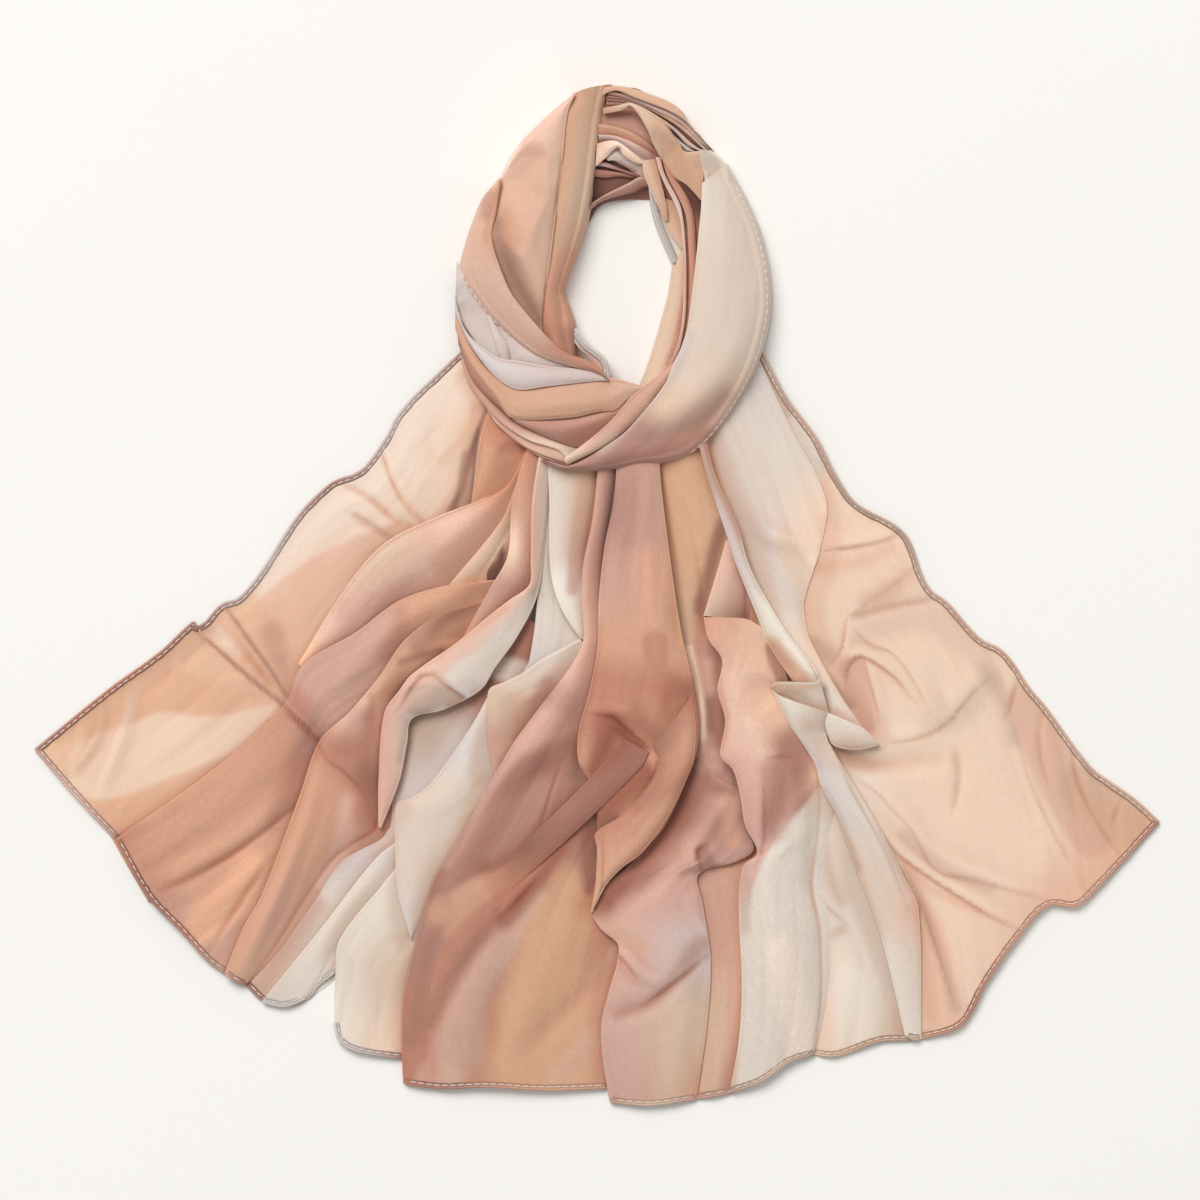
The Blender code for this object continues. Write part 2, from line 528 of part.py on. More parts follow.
def crease_height(fold, plan):
    """What the creases of this fold add to its height."""
    total = np.zeros(plan.shape[:-1])
    for crease in CREASES:
        if fold.name not in crease.folds.split():
            continue
        far, along = distance_to(plan, crease.path)
        fade = np.sin(np.pi * along.clip(CREASE_FADE, 1 - CREASE_FADE)) ** 0.5
        total += crease.height * fade * np.exp(-((far / crease.half_width) ** 2))
    return total


def columns(fold, width):
    """The shares across at one station, as (share, kind), for a strip this wide there."""
    left_side, right_side = fold.sides.split()
    edges = [smooth_path(edge, MOST_STATIONS) for edge in (fold.left, fold.right)]
    widest = np.linalg.norm(edges[0] - edges[1], axis=1).max()
    inner = int(np.clip(round(widest / COLUMN_STEP), 1, MOST_COLUMNS))
    rim = min(EDGE_ROUND / width, 0.5 / (inner + 1))
    middle = [(share, "middle") for share in np.linspace(0, 1, inner + 2)[1:-1]]
    if left_side == "tuck":
        first = [(-TUCK / width, "tucked"), (0.0, "middle")]
    else:
        first = [(0.0, "edge"), (rim, "middle")]
    if right_side == "tuck":
        last = [(1.0, "middle"), (1 + TUCK / width, "tucked")]
    else:
        last = [(1 - rim, "middle"), (1.0, "edge")]
    return first + middle + last


def fold_grid(fold, grow=0.0):
    """Plan positions, heights and base of a strip's cross sections, widened by grow all round."""
    longest = max(path_length(fold.left), path_length(fold.right))
    stations = int(np.clip(round(longest / STATION_STEP), 4, MOST_STATIONS))
    left = smooth_path(fold.left, stations)
    right = smooth_path(fold.right, stations)
    widths = np.maximum(np.linalg.norm(right - left, axis=1), NARROWEST)
    rows = [columns(fold, width) for width in widths]
    kinds = [kind for _, kind in rows[0]]
    across = np.array([[share for share, _ in row] for row in rows])
    plan = strip_plan(fold, stations, across)
    t = np.linspace(0, 1, stations)[:, None]
    s = across.clip(0, 1)
    height = three_way(fold.left_z, t) * (1 - s) + three_way(fold.right_z, t) * s
    height = height + three_way(fold.crown, t) * (4 * s * (1 - s)) ** ARCH_POWER
    height = height + crease_height(fold, plan)
    base = CORE_TOP + CORE_GAP if fold.level > RING_LEVEL else 0.0
    for k, kind in enumerate(kinds):
        if kind == "edge":
            height[:, k] = base + EDGE_SHARE * (height[:, k] - base)
        if kind == "tucked":
            height[:, k] -= TUCK_DROP
    height = np.maximum(height, base + THINNEST)
    if grow:
        plan = widened(plan, grow)
    return plan, height, base


def widened(plan, grow):
    """The same cross sections with their outer points moved out by grow."""
    moved = plan.copy()
    edges = (
        (plan[:, 0], plan[:, 1], moved[:, 0]),
        (plan[:, -1], plan[:, -2], moved[:, -1]),
        (plan[0], plan[1], moved[0]),
        (plan[-1], plan[-2], moved[-1]),
    )
    for line, inner, target in edges:
        along = np.gradient(line, axis=0)
        normal = np.stack([along[:, 1], -along[:, 0]], axis=1)
        normal /= np.maximum(np.linalg.norm(normal, axis=1), 1e-6)[:, None]
        side = np.sign(((line - inner) * normal).sum(axis=1).sum())
        target += normal * side * grow
    return moved


def closed_grid(name, plan, top, bottom):
    """An object with the grid's top and bottom surfaces and the walls between them."""
    stations, count = top.shape
    mesh = bpy.data.meshes.new(name)
    model = bmesh.new()
    layers = []
    for heights in (top, bottom):
        layers.append(
            [
                [
                    model.verts.new((plan[i, k, 0] * MM, plan[i, k, 1] * MM, heights[i, k] * MM))
                    for k in range(count)
                ]
                for i in range(stations)
            ]
        )
    upper, lower = layers
    for i in range(stations - 1):
        for k in range(count - 1):
            quad = ((i, k), (i + 1, k), (i + 1, k + 1), (i, k + 1))
            model.faces.new([upper[a][b] for a, b in quad])
            model.faces.new([lower[a][b] for a, b in reversed(quad)])
    rim = [(i, 0) for i in range(stations)]
    rim += [(stations - 1, k) for k in range(1, count)]
    rim += [(i, count - 1) for i in range(stations - 2, -1, -1)]
    rim += [(0, k) for k in range(count - 2, 0, -1)]
    for here, after in zip(rim, rim[1:] + rim[:1]):
        a, b = upper[here[0]][here[1]], upper[after[0]][after[1]]
        c, d = lower[after[0]][after[1]], lower[here[0]][here[1]]
        model.faces.new((b, a, d, c))
    bmesh.ops.recalc_face_normals(model, faces=model.faces)
    bmesh.ops.triangulate(model, faces=model.faces)
    model.to_mesh(mesh)
    model.free()
    made = bpy.data.objects.new(name, mesh)
    bpy.context.scene.collection.objects.link(made)
    return made


def add_core():
    """The ring's hidden layers, as one low solid with a rounded rim and a flat underside."""
    outer = smooth_path(CORE_OUTER + CORE_OUTER[:1], CORE_COUNT + 1)[:-1]
    inner = smooth_path(CORE_INNER + CORE_INNER[:1], CORE_COUNT + 1)[:-1]
    shares = [share for share, _ in CORE_PROFILE]
    heights = [level * CORE_TOP for _, level in CORE_PROFILE]
    model = bmesh.new()
    sections = []
    for inside, outside in zip(inner, outer):
        points = [inside + (outside - inside) * share for share in shares]
        upper = [
            model.verts.new((p[0] * MM, p[1] * MM, z * MM)) for p, z in zip(points, heights)
        ]
        lower = [model.verts.new((p[0] * MM, p[1] * MM, 0.0)) for p in reversed(points)]
        sections.append(upper + lower)
    for near, after in zip(sections, sections[1:] + sections[:1]):
        for k in range(len(near)):
            following = (k + 1) % len(near)
            model.faces.new((near[k], near[following], after[following], after[k]))
    bmesh.ops.recalc_face_normals(model, faces=model.faces)
    mesh = bpy.data.meshes.new("ring_core")
    model.to_mesh(mesh)
    model.free()
    core = bpy.data.objects.new("ring_core", mesh)
    bpy.context.scene.collection.objects.link(core)
    return core


def plan_box(obj):
    corners = np.array([vertex.co[:2] for vertex in obj.data.vertices])
    return corners.min(axis=0), corners.max(axis=0)


def boxes_meet(first, second):
    (low_a, high_a), (low_b, high_b) = plan_box(first), plan_box(second)
    return bool((low_a < high_b).all() and (low_b < high_a).all())


def keep_largest_piece(obj):
    """Applies the object's cuts and drops the crumbs that they leave."""
    graph = bpy.context.evaluated_depsgraph_get()
    mesh = bpy.data.meshes.new_from_object(obj.evaluated_get(graph))
    model = bmesh.new()
    model.from_mesh(mesh)
    bmesh.ops.remove_doubles(model, verts=model.verts, dist=CLOSE)
    bmesh.ops.dissolve_degenerate(model, dist=CLOSE, edges=model.edges)
    left_over = set(model.verts)
    islands = []
    while left_over:
        edge_of_search = [left_over.pop()]
        island = set(edge_of_search)
        while edge_of_search:
            vertex = edge_of_search.pop()
            for edge in vertex.link_edges:
                other = edge.other_vert(vertex)
                if other not in island:
                    island.add(other)
                    edge_of_search.append(other)
        left_over -= island
        islands.append(island)
    islands.sort(key=lambda island: plan_area(island))
    for island in islands[:-1]:
        bmesh.ops.delete(model, geom=list(island), context="VERTS")
    flat = [face for face in model.faces if face.normal.z < -FACING_DOWN]
    rim = {edge for face in flat for edge in face.edges}
    bmesh.ops.dissolve_limit(
        model, angle_limit=FLAT_ANGLE, edges=[edge for edge in rim if edge.is_manifold], verts=[]
    )
    bmesh.ops.triangulate(model, faces=model.faces)
    model.to_mesh(mesh)
    model.free()
    obj.modifiers.clear()
    obj.data = mesh


def plan_area(island):
    faces = {face for vertex in island for face in vertex.link_faces}
    return sum(face.calc_area() for face in faces)


def dye_of(name):
    for dye, starts in FOLD_DYES:
        if any(name.startswith(start) for start in starts.split()):
            return dye
    return "peach"


def cloth_material(name):
    material = bpy.data.materials.new(name)
    material.use_nodes = True
    shader = material.node_tree.nodes["Principled BSDF"]
    shader.inputs["Base Color"].default_value = DYES[dye_of(name)]
    shader.inputs["Roughness"].default_value = ROUGHNESS
    shader.inputs["Metallic"].default_value = 0.0
    return material


def add_cutter(fold):
    plan, height, _ = fold_grid(fold, grow=SEAM)
    above = np.full_like(height, CUTTER_HEIGHT)
    below = np.full_like(height, -CUTTER_DEPTH)
    cutter = closed_grid("cut_" + fold.name, plan, above, below)
    cutter.hide_render = True
    cutter.display_type = "WIRE"
    return cutter


def build():
    for obj in list(bpy.data.objects):
        bpy.data.objects.remove(obj)
    strips = {}
    cutters = {}
    for fold in FOLDS:
        plan, height, base = fold_grid(fold)
        strips[fold.name] = closed_grid(fold.name, plan, height, np.full_like(height, base))
        cutters[fold.name] = add_cutter(fold)
    for fold in FOLDS:
        strip = strips[fold.name]
        for other in sorted(FOLDS, key=lambda row: -row.level):
            covers = other.level > fold.level
            if covers and boxes_meet(strip, cutters[other.name]):
                cut = strip.modifiers.new("under_" + other.name, "BOOLEAN")
                cut.operation = "DIFFERENCE"
                cut.object = cutters[other.name]
                cut.solver = "MANIFOLD"
    bpy.context.view_layer.update()
    for strip in strips.values():
        keep_largest_piece(strip)
    core = add_core()
    for obj in [*strips.values(), core]:
        obj.data.materials.append(cloth_material(obj.name))
        obj.data.shade_smooth()
        obj.data.set_sharp_from_angle(angle=SHARP_ANGLE)
    for cutter in cutters.values():
        bpy.data.objects.remove(cutter)


if __name__ == "__main__":
    build()
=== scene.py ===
"""A long chiffon scarf, wound once into a ring and laid on a pale surface, its two ends fanned out.

Each stretch of cloth that shows is a fold: a thin shell between two edges, with its own height,
creases and print, and painted shade in its troughs, below its steps and under its neighbours.
Plan positions and heights in the tables are in millimetres. +X is right, +Y is towards the neck,
+Z is up, and the cloth rests on z = 0.
"""

from collections import namedtuple

import bpy
import numpy as np
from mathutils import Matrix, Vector


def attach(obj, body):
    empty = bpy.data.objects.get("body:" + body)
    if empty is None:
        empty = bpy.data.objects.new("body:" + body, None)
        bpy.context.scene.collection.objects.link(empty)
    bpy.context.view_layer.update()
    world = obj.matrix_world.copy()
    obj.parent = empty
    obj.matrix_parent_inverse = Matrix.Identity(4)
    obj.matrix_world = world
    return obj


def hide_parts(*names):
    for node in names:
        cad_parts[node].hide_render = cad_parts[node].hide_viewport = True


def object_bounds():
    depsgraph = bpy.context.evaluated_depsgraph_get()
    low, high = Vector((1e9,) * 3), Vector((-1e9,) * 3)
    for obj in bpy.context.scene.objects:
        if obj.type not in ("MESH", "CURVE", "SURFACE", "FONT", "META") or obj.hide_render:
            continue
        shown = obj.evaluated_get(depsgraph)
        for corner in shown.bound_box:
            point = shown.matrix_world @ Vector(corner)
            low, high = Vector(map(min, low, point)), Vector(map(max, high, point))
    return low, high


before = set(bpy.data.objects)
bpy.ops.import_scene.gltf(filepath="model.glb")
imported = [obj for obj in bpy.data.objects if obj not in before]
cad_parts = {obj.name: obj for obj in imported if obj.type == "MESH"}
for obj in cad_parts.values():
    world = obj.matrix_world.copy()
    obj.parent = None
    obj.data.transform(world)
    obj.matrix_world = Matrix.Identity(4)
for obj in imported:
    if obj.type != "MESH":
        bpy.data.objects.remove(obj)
CAD_BOX = [list(corner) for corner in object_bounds()]

bl_info = {
    "name": "Chiffon Scarf",
    "version": (1, 0, 0),
    "blender": (4, 5, 0),
    "location": "View3D > Sidebar > Chiffon Scarf",
    "description": "Lays a sheer printed scarf, its folds, rolled hem and stitches",
    "category": "Object",
}

MM = 0.001  # the tables' unit, in metres
PER_METRE = 1000  # of the tables' unit
RING_LEVEL = 40  # folds above this level are wound round the neck

Fold = namedtuple(
    "Fold", "name level sides left_z right_z crown left right start end", defaults=("", "")
)
# A fold's name and its level: it covers the folds of a lower level. What its left and right edges
# do: hem ends on its line, lip rolls under, wall falls to the surface, tuck runs on below its
# neighbour. The heights of the left edge, of the right edge and of the arch between them, each at the
# neck, half way and at the hem. The plan of the left and the right edge, x,y by x,y, from the neck to
# the hem. start, end: the plan of the first and last cross section, where it is not straight.
FOLDS = (
    Fold(
        "left_flap", 10, "hem tuck", (6, 2, 2), (9, 4, 2), (3, 3, 2),
        (
            "-83,163 -102,145 -120,128 -130,116 -136,104 -150,84 -159,78 -166,76 -175,71 -194,52 "
            "-220,13 -233,-2 -244,-6 -256,-19 -260,-20 -262,-17 -284,-37 -317,-61 -365,-100"
        ),
        "-63,108 -77,82 -102,52 -138,34 -164,4 -195,-45 -203,-71 -248,-112 -313,-158",
        end="-365,-100 -339,-130 -313,-158",
    ),
    Fold(
        "left_brown_fold", 12, "lip tuck", (12, 8, 6), (12, 8, 6), (3, 5, 1),
        "-45,100 -59,72 -79,61 -102,52 -138,34 -164,4 -194,-44",
        "-32,101 -44,62 -58,30 -88,5 -128,-6 -157,-26 -191,-48",
    ),
    Fold(
        "left_wide_band", 14, "lip tuck", (12, 9, 3), (11, 8, 3), (2, 3, 2),
        "-57,11 -96,7 -128,-3 -157,-24 -191,-45 -203,-71 -248,-112 -313,-158",
        "-45,5 -76,-11 -102,-20 -125,-32 -141,-54 -161,-77 -180,-95 -196,-136 -216,-185 -242,-245",
        end="-313,-158 -291,-196 -271,-217 -252,-238 -242,-245",
    ),
    Fold(
        "left_peach_roll", 16, "lip tuck", (15, 12, 5), (9, 7, 3), (4, 5, 2),
        (
            "-60,4 -83,-6 -102,-12 -125,-29 -141,-52 -161,-76 -180,-94 -193,-130 -218,-195 -229,-214 "
            "-242,-245"
        ),
        (
            "-47,2 -76,-24 -99,-42 -125,-61 -136,-81 -141,-113 -144,-150 -161,-162 -174,-173 "
            "-193,-201 -209,-227 -228,-253"
        ),
        end="-242,-245 -236,-250 -228,-253",
    ),
    Fold(
        "left_lilac_under", 11, "tuck tuck", (6, 4, 2), (6, 4, 2), (1, 1, 1),
        "-53,-3 -79,-48 -109,-74 -125,-107 -138,-149 -167,-172 -193,-208 -209,-234 -228,-253",
        "-32,-29 -53,-78 -83,-120 -112,-152 -144,-201 -164,-229 -170,-245",
        end="-232,-253 -219,-264 -203,-267 -189,-262 -181,-253 -170,-245",
    ),
    Fold(
        "left_cream_strip", 13, "lip tuck", (6, 5, 3), (5, 4, 2), (1, 2, 1),
        "-128,-158 -144,-171 -180,-217 -218,-264",
        "-128,-173 -138,-188 -174,-234 -181,-249 -189,-262",
        end="-218,-264 -203,-267 -189,-262",
    ),
    Fold(
        "left_cream_panel", 15, "lip tuck", (7, 6, 3), (6, 4, 2), (2, 3, 2),
        "-127,-165 -131,-177 -167,-223 -170,-247 -171,-276",
        "-96,-172 -110,-201 -116,-230 -123,-256 -125,-301",
        end="-171,-276 -167,-290 -154,-297 -125,-302",
    ),
    Fold(
        "ridge_fold", 24, "lip lip", (18, 17, 8), (12, 12, 8), (2, 3, 2),
        (
            "-36,101 -42,62 -43,23 -44,7 -57,-3 -70,-13 -89,-29 -120,-51 -128,-61 -138,-76 -142,-123 "
            "-142,-150"
        ),
        "-27,101 -35,20 -40,-4 -53,-29 -66,-47 -75,-61 -99,-74 -120,-80 -123,-95 -128,-120 -140,-151",
    ),
    Fold(
        "short_rose_fold", 22, "lip tuck", (14, 12, 8), (12, 11, 8), (2, 2, 1),
        "-44,101 -55,62 -58,26 -70,4 -88,-29",
        "-34,101 -42,23 -45,4 -63,-11 -83,-26",
    ),
    Fold(
        "cream_fold", 20, "lip tuck", (10, 10, 7), (9, 8, 6), (3, 4, 1),
        "-68,-60 -83,-87 -109,-123 -120,-131 -130,-135 -131,-162 -129,-195 -121,-222",
        "-62,-68 -65,-97 -68,-123 -83,-152 -105,-191 -120,-223",
    ),
    Fold(
        "cream_turn", 26, "lip tuck", (18, 15, 9), (15, 12, 9), (1, 2, 1),
        "-11,-28 -37,-42 -48,-50 -60,-56 -70,-61 -71,-78 -71,-97 -67,-117",
        "-5,-35 -14,-50 -52,-102 -63,-119",
    ),
    Fold(
        "cream_gore_left", 23, "lip tuck", (14, 12, 9), (12, 10, 8), (2, 2, 1),
        "-36,101 -39,-3 -44,-42 -49,-52",
        "-27,101 -29,49 -27,4 -20,-15 -12,-29",
    ),
    Fold(
        "cream_gore_right", 25, "lip tuck", (17, 15, 14), (13, 11, 12), (2, 3, 1),
        "-33,101 -31,62 -31,26 -28,4 -21,-13 -11,-28",
        "2,101 -2,62 -8,23 -7,-29",
    ),
    Fold(
        "centre_tail", 28, "lip tuck", (18, 14, 3), (14, 10, 3), (2, 5, 3),
        (
            "2,101 -3,49 -9,20 -10,-3 -9,-29 -18,-47 -34,-68 -57,-100 -92,-162 -107,-188 -125,-256 "
            "-127,-289 -126,-317"
        ),
        "16,101 5,23 5,-29 1,-68 -3,-107 6,-152 6,-198 16,-230 11,-263 7,-289 6,-320",
        end="-126,-317 -102,-320 -70,-319 -37,-321 6,-320",
    ),
    Fold(
        "centre_main", 32, "lip lip", (19, 17, 12), (17, 18, 12), (3, 5, 2),
        "13,101 11,62 5,33 1,-3 0,-35 -6,-65 -12,-87 -12,-108 -3,-126 1,-172 -4,-205",
        "40,101 42,69 54,-19 65,-68 66,-91 62,-110 44,-149 28,-167 11,-181 3,-191 -3,-206",
    ),
    Fold(
        "tan_strip", 29, "tuck tuck", (12, 9, 7), (9, 6, 5), (5, 3, 2),
        "38,101 59,-29 66,-61 67,-87 63,-110",
        "70,101 81,65 93,36 98,4 101,-19 86,-61 85,-107 81,-124",
        end="63,-109 70,-119 81,-124",
    ),
    Fold(
        "peach_triangle", 31, "lip tuck", (11, 11, 11), (9, 7, 6), (1, 2, 1),
        "84,37 77,13 69,-13",
        "92,23 96,4 96,-17",
    ),
    Fold(
        "peach_step", 34, "lip tuck", (17, 14, 3), (15, 10, 3), (3, 5, 3),
        (
            "69,-14 72,-28 81,-42 78,-61 83,-81 80,-104 88,-113 93,-131 96,-149 104,-167 95,-175 "
            "92,-198 94,-253 92,-289 86,-323"
        ),
        (
            "106,-20 109,-39 114,-60 127,-86 141,-111 144,-133 142,-162 139,-188 144,-217 145,-263 "
            "141,-298"
        ),
        start="69,-14 96,-15 106,-20",
        end="86,-323 106,-316 125,-303 141,-298",
    ),
    Fold(
        "lilac_panel", 30, "lip lip", (8, 12, 3), (10, 6.5, 2.5), (3, 4, 2),
        "63,-106 54,-130 28,-167 3,-191 -4,-204 2,-216 14,-228 8,-256 3,-276 3,-295 8,-329",
        "81,-121 92,-126 97,-149 102,-165 90,-173 66,-181 69,-201 74,-237 72,-276 65,-327",
        end="8,-329 34,-331 65,-327",
    ),
    Fold(
        "rose_strip", 27, "tuck tuck", (5, 4, 2), (5, 4, 2), (1, 1, 1),
        "60,-165 65,-185 70,-217 74,-240 71,-282 65,-327",
        "109,-158 101,-178 96,-217 98,-253 94,-289 88,-323",
        start="60,-165 80,-159 109,-158",
        end="65,-327 77,-325 88,-323",
    ),
    Fold(
        "right_flap", 10, "tuck hem", (9, 5, 3), (6, 2, 2), (3, 4, 2),
        "75,101 90,43 109,-3 129,-47 142,-68 163,-117 194,-178 207,-214 211,-288",
        (
            "105,163 122,130 142,103 155,78 168,60 199,41 211,13 216,4 221,0 227,-4 241,-20 250,-29 "
            "262,-35 271,-45 280,-59 291,-72 320,-111 333,-121 350,-133 365,-147"
        ),
        end="211,-288 237,-279 252,-253 272,-224 293,-201 311,-202 327,-188 365,-147",
    ),
    Fold(
        "right_cream_layer", 13, "tuck lip", (10, 9, 9), (6, 6, 6), (2, 2, 1),
        "65,108 83,56 96,10 144,-54 150,-76",
        "101,163 125,111 149,62 145,30 135,-3 136,-19 140,-32 163,-72 181,-95",
    ),
    Fold(
        "right_roll", 36, "lip lip", (16, 14, 12), (14, 12, 11), (2, 3, 4),
        "65,101 72,75 84,39 89,23 106,-19 111,-32 130,-60",
        "71,101 77,78 92,43 98,22 106,5 124,-25 140,-45 144,-52 146,-60",
    ),
    Fold(
        "right_cream_long", 38, "lip lip", (14, 9, 3), (14, 7, 2.5), (2, 3, 1),
        "113,-61 125,-84 137,-102 142,-111 146,-126 157,-146 166,-172 183,-217 200,-286",
        "151,-76 149,-82 149,-89 151,-96 184,-152 200,-184 209,-204 211,-288",
        start="113,-61 121,-66 151,-76",
        end="199,-287 205,-289 211,-288",
    ),
    Fold(
        "right_leaf", 39, "lip lip", (15, 14, 10), (11, 10, 9), (1, 2, 1),
        "150,-76 164,-82 174,-87 183,-96",
        "149,-89 153,-97 162,-100 172,-100 183,-97",
        start="150,-76 148,-82 149,-89",
    ),
    Fold(
        "right_cream_under", 26, "tuck tuck", (6, 4, 2), (6, 4, 2), (1, 2, 1),
        "138,-104 140,-159 136,-188 140,-217 141,-263 140,-298",
        "150,-110 172,-172 200,-253 205,-289",
        end="140,-298 155,-299 184,-289 205,-288",
    ),
    Fold(
        "neck_outer_layer", 46, "wall lip", (17, 12, 9), (21, 18, 16), (2, 2, 2),
        "-23,320 10,331 42,323 55,315 60,306 76,288",
        "-20,314 -5,319 11,327 23,323 54,310 69,295 76,288",
    ),
    Fold(
        "neck_thin_layers", 40, "hem hem", (11, 11, 10), (10, 10, 10), (1, 1, 1),
        "6,326 28,321 62,303 77,286",
        "5,314 22,316 38,309 47,299 57,286 77,285",
    ),
    Fold(
        "collar_fold", 51, "lip lip", (18, 21, 21), (18, 22, 22), (1, 2, 1),
        "4,316 15,318 23,319 41,309 53,294 57,288 67,288 70,287",
        "4,312 15,314 22,317 33,301 36,293 49,272 58,266 68,255",
    ),
    Fold(
        "neck_mauve_layer", 41, "tuck tuck", (14, 14, 13), (12, 12, 12), (0, 1, 0),
        "2,314 22,318 33,306 41,284",
        "2,303 15,300 28,295 40,286",
    ),
    Fold(
        "neck_orange_layer", 46, "lip tuck", (17, 17, 16), (16, 16, 15), (1, 1, 1),
        "1,306 12,304 21,301 31,295 41,286",
        "1,299 12,299 31,290 40,284",
    ),
    Fold(
        "neck_peach_lobe", 49, "lip lip", (15, 17, 16), (14, 15, 15), (1, 2, 1),
        "0,293 8,295 14,294 31,281",
        "-1,278 6,284 14,291 17,286 26,280 31,280",
    ),
    Fold(
        "neck_grey_layer", 39, "tuck tuck", (9, 9, 9), (7, 7, 7), (1, 1, 1),
        "-2,286 14,292 25,284 36,280",
        "-5,253 5,265 21,269 37,269",
    ),
    Fold(
        "neck_low_band", 47, "lip wall", (11, 12, 12), (7, 7, 7), (0, 1, 0),
        "-6,253 5,260 21,268 29,272 36,269",
        "-6,248 2,255 23,261 31,265 36,265",
    ),
    Fold(
        "inner_hem_edge", 46, "wall tuck", (7, 7, 7), (8, 9, 9), (0, 1, 0),
        "33,266 37,243 49,214",
        "38,266 42,254 51,240 57,225",
    ),
    Fold(
        "inner_tan_strand", 52, "lip lip", (16, 15, 13), (16, 16, 14), (1, 2, 1),
        "29,282 31,271 44,243",
        "38,283 45,254 46,243",
    ),
    Fold(
        "inner_rose_strand", 49, "wall tuck", (10, 9, 10), (19, 20, 20), (2, 3, 3),
        "34,282 46,249 54,231 49,214 46,195 34,153 27,135",
        "46,278 60,260 70,244 67,205 64,179 57,156 44,137 28,126",
    ),
    Fold(
        "left_drop_inner", 52, "hem wall", (23, 24, 20), (10, 10, 12), (4, 5, 3),
        "-16,325 -21,303 -24,270 -31,225 -36,169 -32,152",
        "10,332 6,314 -5,244 -20,202 -21,197 -17,187 -13,173 -12,153",
        start="-16,325 -5,329 10,332",
    ),
    Fold(
        "left_drop_outer", 54, "wall lip", (16, 25, 23), (22, 25, 20), (4, 7, 3),
        "-16,325 -34,310 -53,290 -63,271 -70,251 -73,231 -70,212 -51,178 -37,160",
        "-14,325 -19,312 -22,283 -29,225 -34,186 -34,163",
    ),
    Fold(
        "left_outer_wrap", 58, "wall lip", (9, 14, 24), (18, 27, 25), (3, 4, 2),
        "-64,271 -76,255 -90,212 -88,203 -81,192 -70,178 -44,156 -18,147 -5,145 4,142 8,139",
        "-62,269 -65,249 -68,232 -61,208 -53,192 -27,162 -18,156 -8,153 2,147 8,139",
    ),
    Fold(
        "lilac_upper", 55, "hem hem", (9, 16, 20), (9, 17, 20), (2, 2, 1),
        "-91,217 -81,200 -66,182 -50,167 -34,158 -14,152",
        "-92,189 -86,176 -77,163 -63,152 -14,144",
    ),
    Fold(
        "lilac_lower", 57, "lip lip", (10, 20, 23), (10, 21, 22), (1, 3, 1),
        "-92,195 -89,180 -83,169 -73,160 -63,154 -50,152 -34,149 -1,145 8,139",
        "-92,184 -83,164 -70,146 -60,137 -50,133 -34,135 2,139 8,139",
    ),
    Fold(
        "wrap_fold_upper", 56, "lip lip", (8, 19, 19), (9, 24, 21), (1, 4, 2),
        "-92,184 -79,158 -68,145 -50,135 -24,139 8,141 29,136",
        "-92,173 -83,152 -64,126 -55,115 -18,115 2,119 12,120 21,128 30,134",
    ),
    Fold(
        "wrap_fold_middle", 53, "hem lip", (8, 18, 19), (9, 22, 20), (1, 3, 2),
        "-91,178 -85,161 -63,128 -50,119 -18,119 8,123 28,135",
        "-90,163 -85,149 -79,137 -59,118 -49,110 -14,96 -5,98 14,114 29,132",
    ),
    Fold(
        "wrap_fold_lower", 52, "tuck lip", (8, 17, 20), (9, 18, 21), (1, 2, 1),
        "-88,160 -81,143 -72,130 -60,118 -44,109 -14,100 -5,102",
        "-88,152 -83,137 -63,113 -45,101 -25,94 -20,89",
    ),
    Fold(
        "wrap_fold_last", 50, "tuck wall", (8, 14, 17), (8, 15, 17), (1, 1, 1),
        "-84,144 -53,105 -40,97 -15,88",
        "-82,139 -60,105 -45,94 -33,87 -15,82",
    ),
    Fold(
        "right_band", 60, "lip wall", (24, 27, 23), (10, 15, 20), (4, 7, 2),
        "68,267 67,247 59,176 55,162 49,149 44,137 25,113 12,101 -18,84 -31,87",
        "85,280 99,254 108,231 113,205 113,182 105,150 92,124 75,101 60,89 41,84 2,80 -24,82 -37,88",
        start="68,267 80,277 85,280",
    ),
    Fold(
        "opening_flap", 49, "lip hem", (10, 11, 12), (12, 12, 12), (0, 1, 0),
        "-13,174 -7,165 5,155 8,149 9,140",
        "-19,170 -12,161 -5,154 6,139",
    ),
    Fold(
        "left_clay_panel", 11, "lip tuck", (14, 12, 8), (15, 14, 10), (2, 3, 1),
        "-70,124 -76,101 -82,57",
        "-46,101 -54,84 -59,67",
    ),
    Fold(
        "left_tan_strip", 13, "lip tuck", (15, 12, 9), (14, 11, 8), (1, 1, 1),
        "-38,97 -53,71 -62,49 -96,7",
        "-34,96 -47,67 -57,45 -81,7",
    ),
    Fold(
        "left_under_corner", 9, "hem tuck", (1, 1, 1), (1, 1, 1), (0, 0, 0),
        "-319,-150 -305,-175 -291,-199",
        "-309,-155 -296,-176 -284,-192",
    ),
    Fold(
        "main_curl", 33, "lip lip", (19, 17, 12), (16, 17, 12), (3, 4, 2),
        "36,-98 40,-107 34,-123 18,-141 -1,-154 0,-164 -1,-186 -3,-201",
        "62,-64 64,-81 64,-97 62,-110 49,-138 38,-156 28,-168 16,-177 6,-188 -2,-203",
        start="36,-98 49,-82 62,-64",
    ),
    Fold(
        "centre_roll", 33, "lip lip", (17, 17, 15), (17, 15, 14), (1, 2, 0),
        "18,-93 -10,-124 -60,-172 -70,-179",
        "34,-102 29,-111 -20,-159 -59,-193",
    ),
    Fold(
        "right_sheet", 37, "lip lip", (15, 13, 12), (17, 14, 12), (1, 1, 1),
        "112,-59 114,-62 120,-66",
        "145,-52 147,-63 151,-77",
        start="112,-59 116,-56 142,-56 145,-52",
        end="120,-66 132,-71 151,-77",
    ),
    Fold(
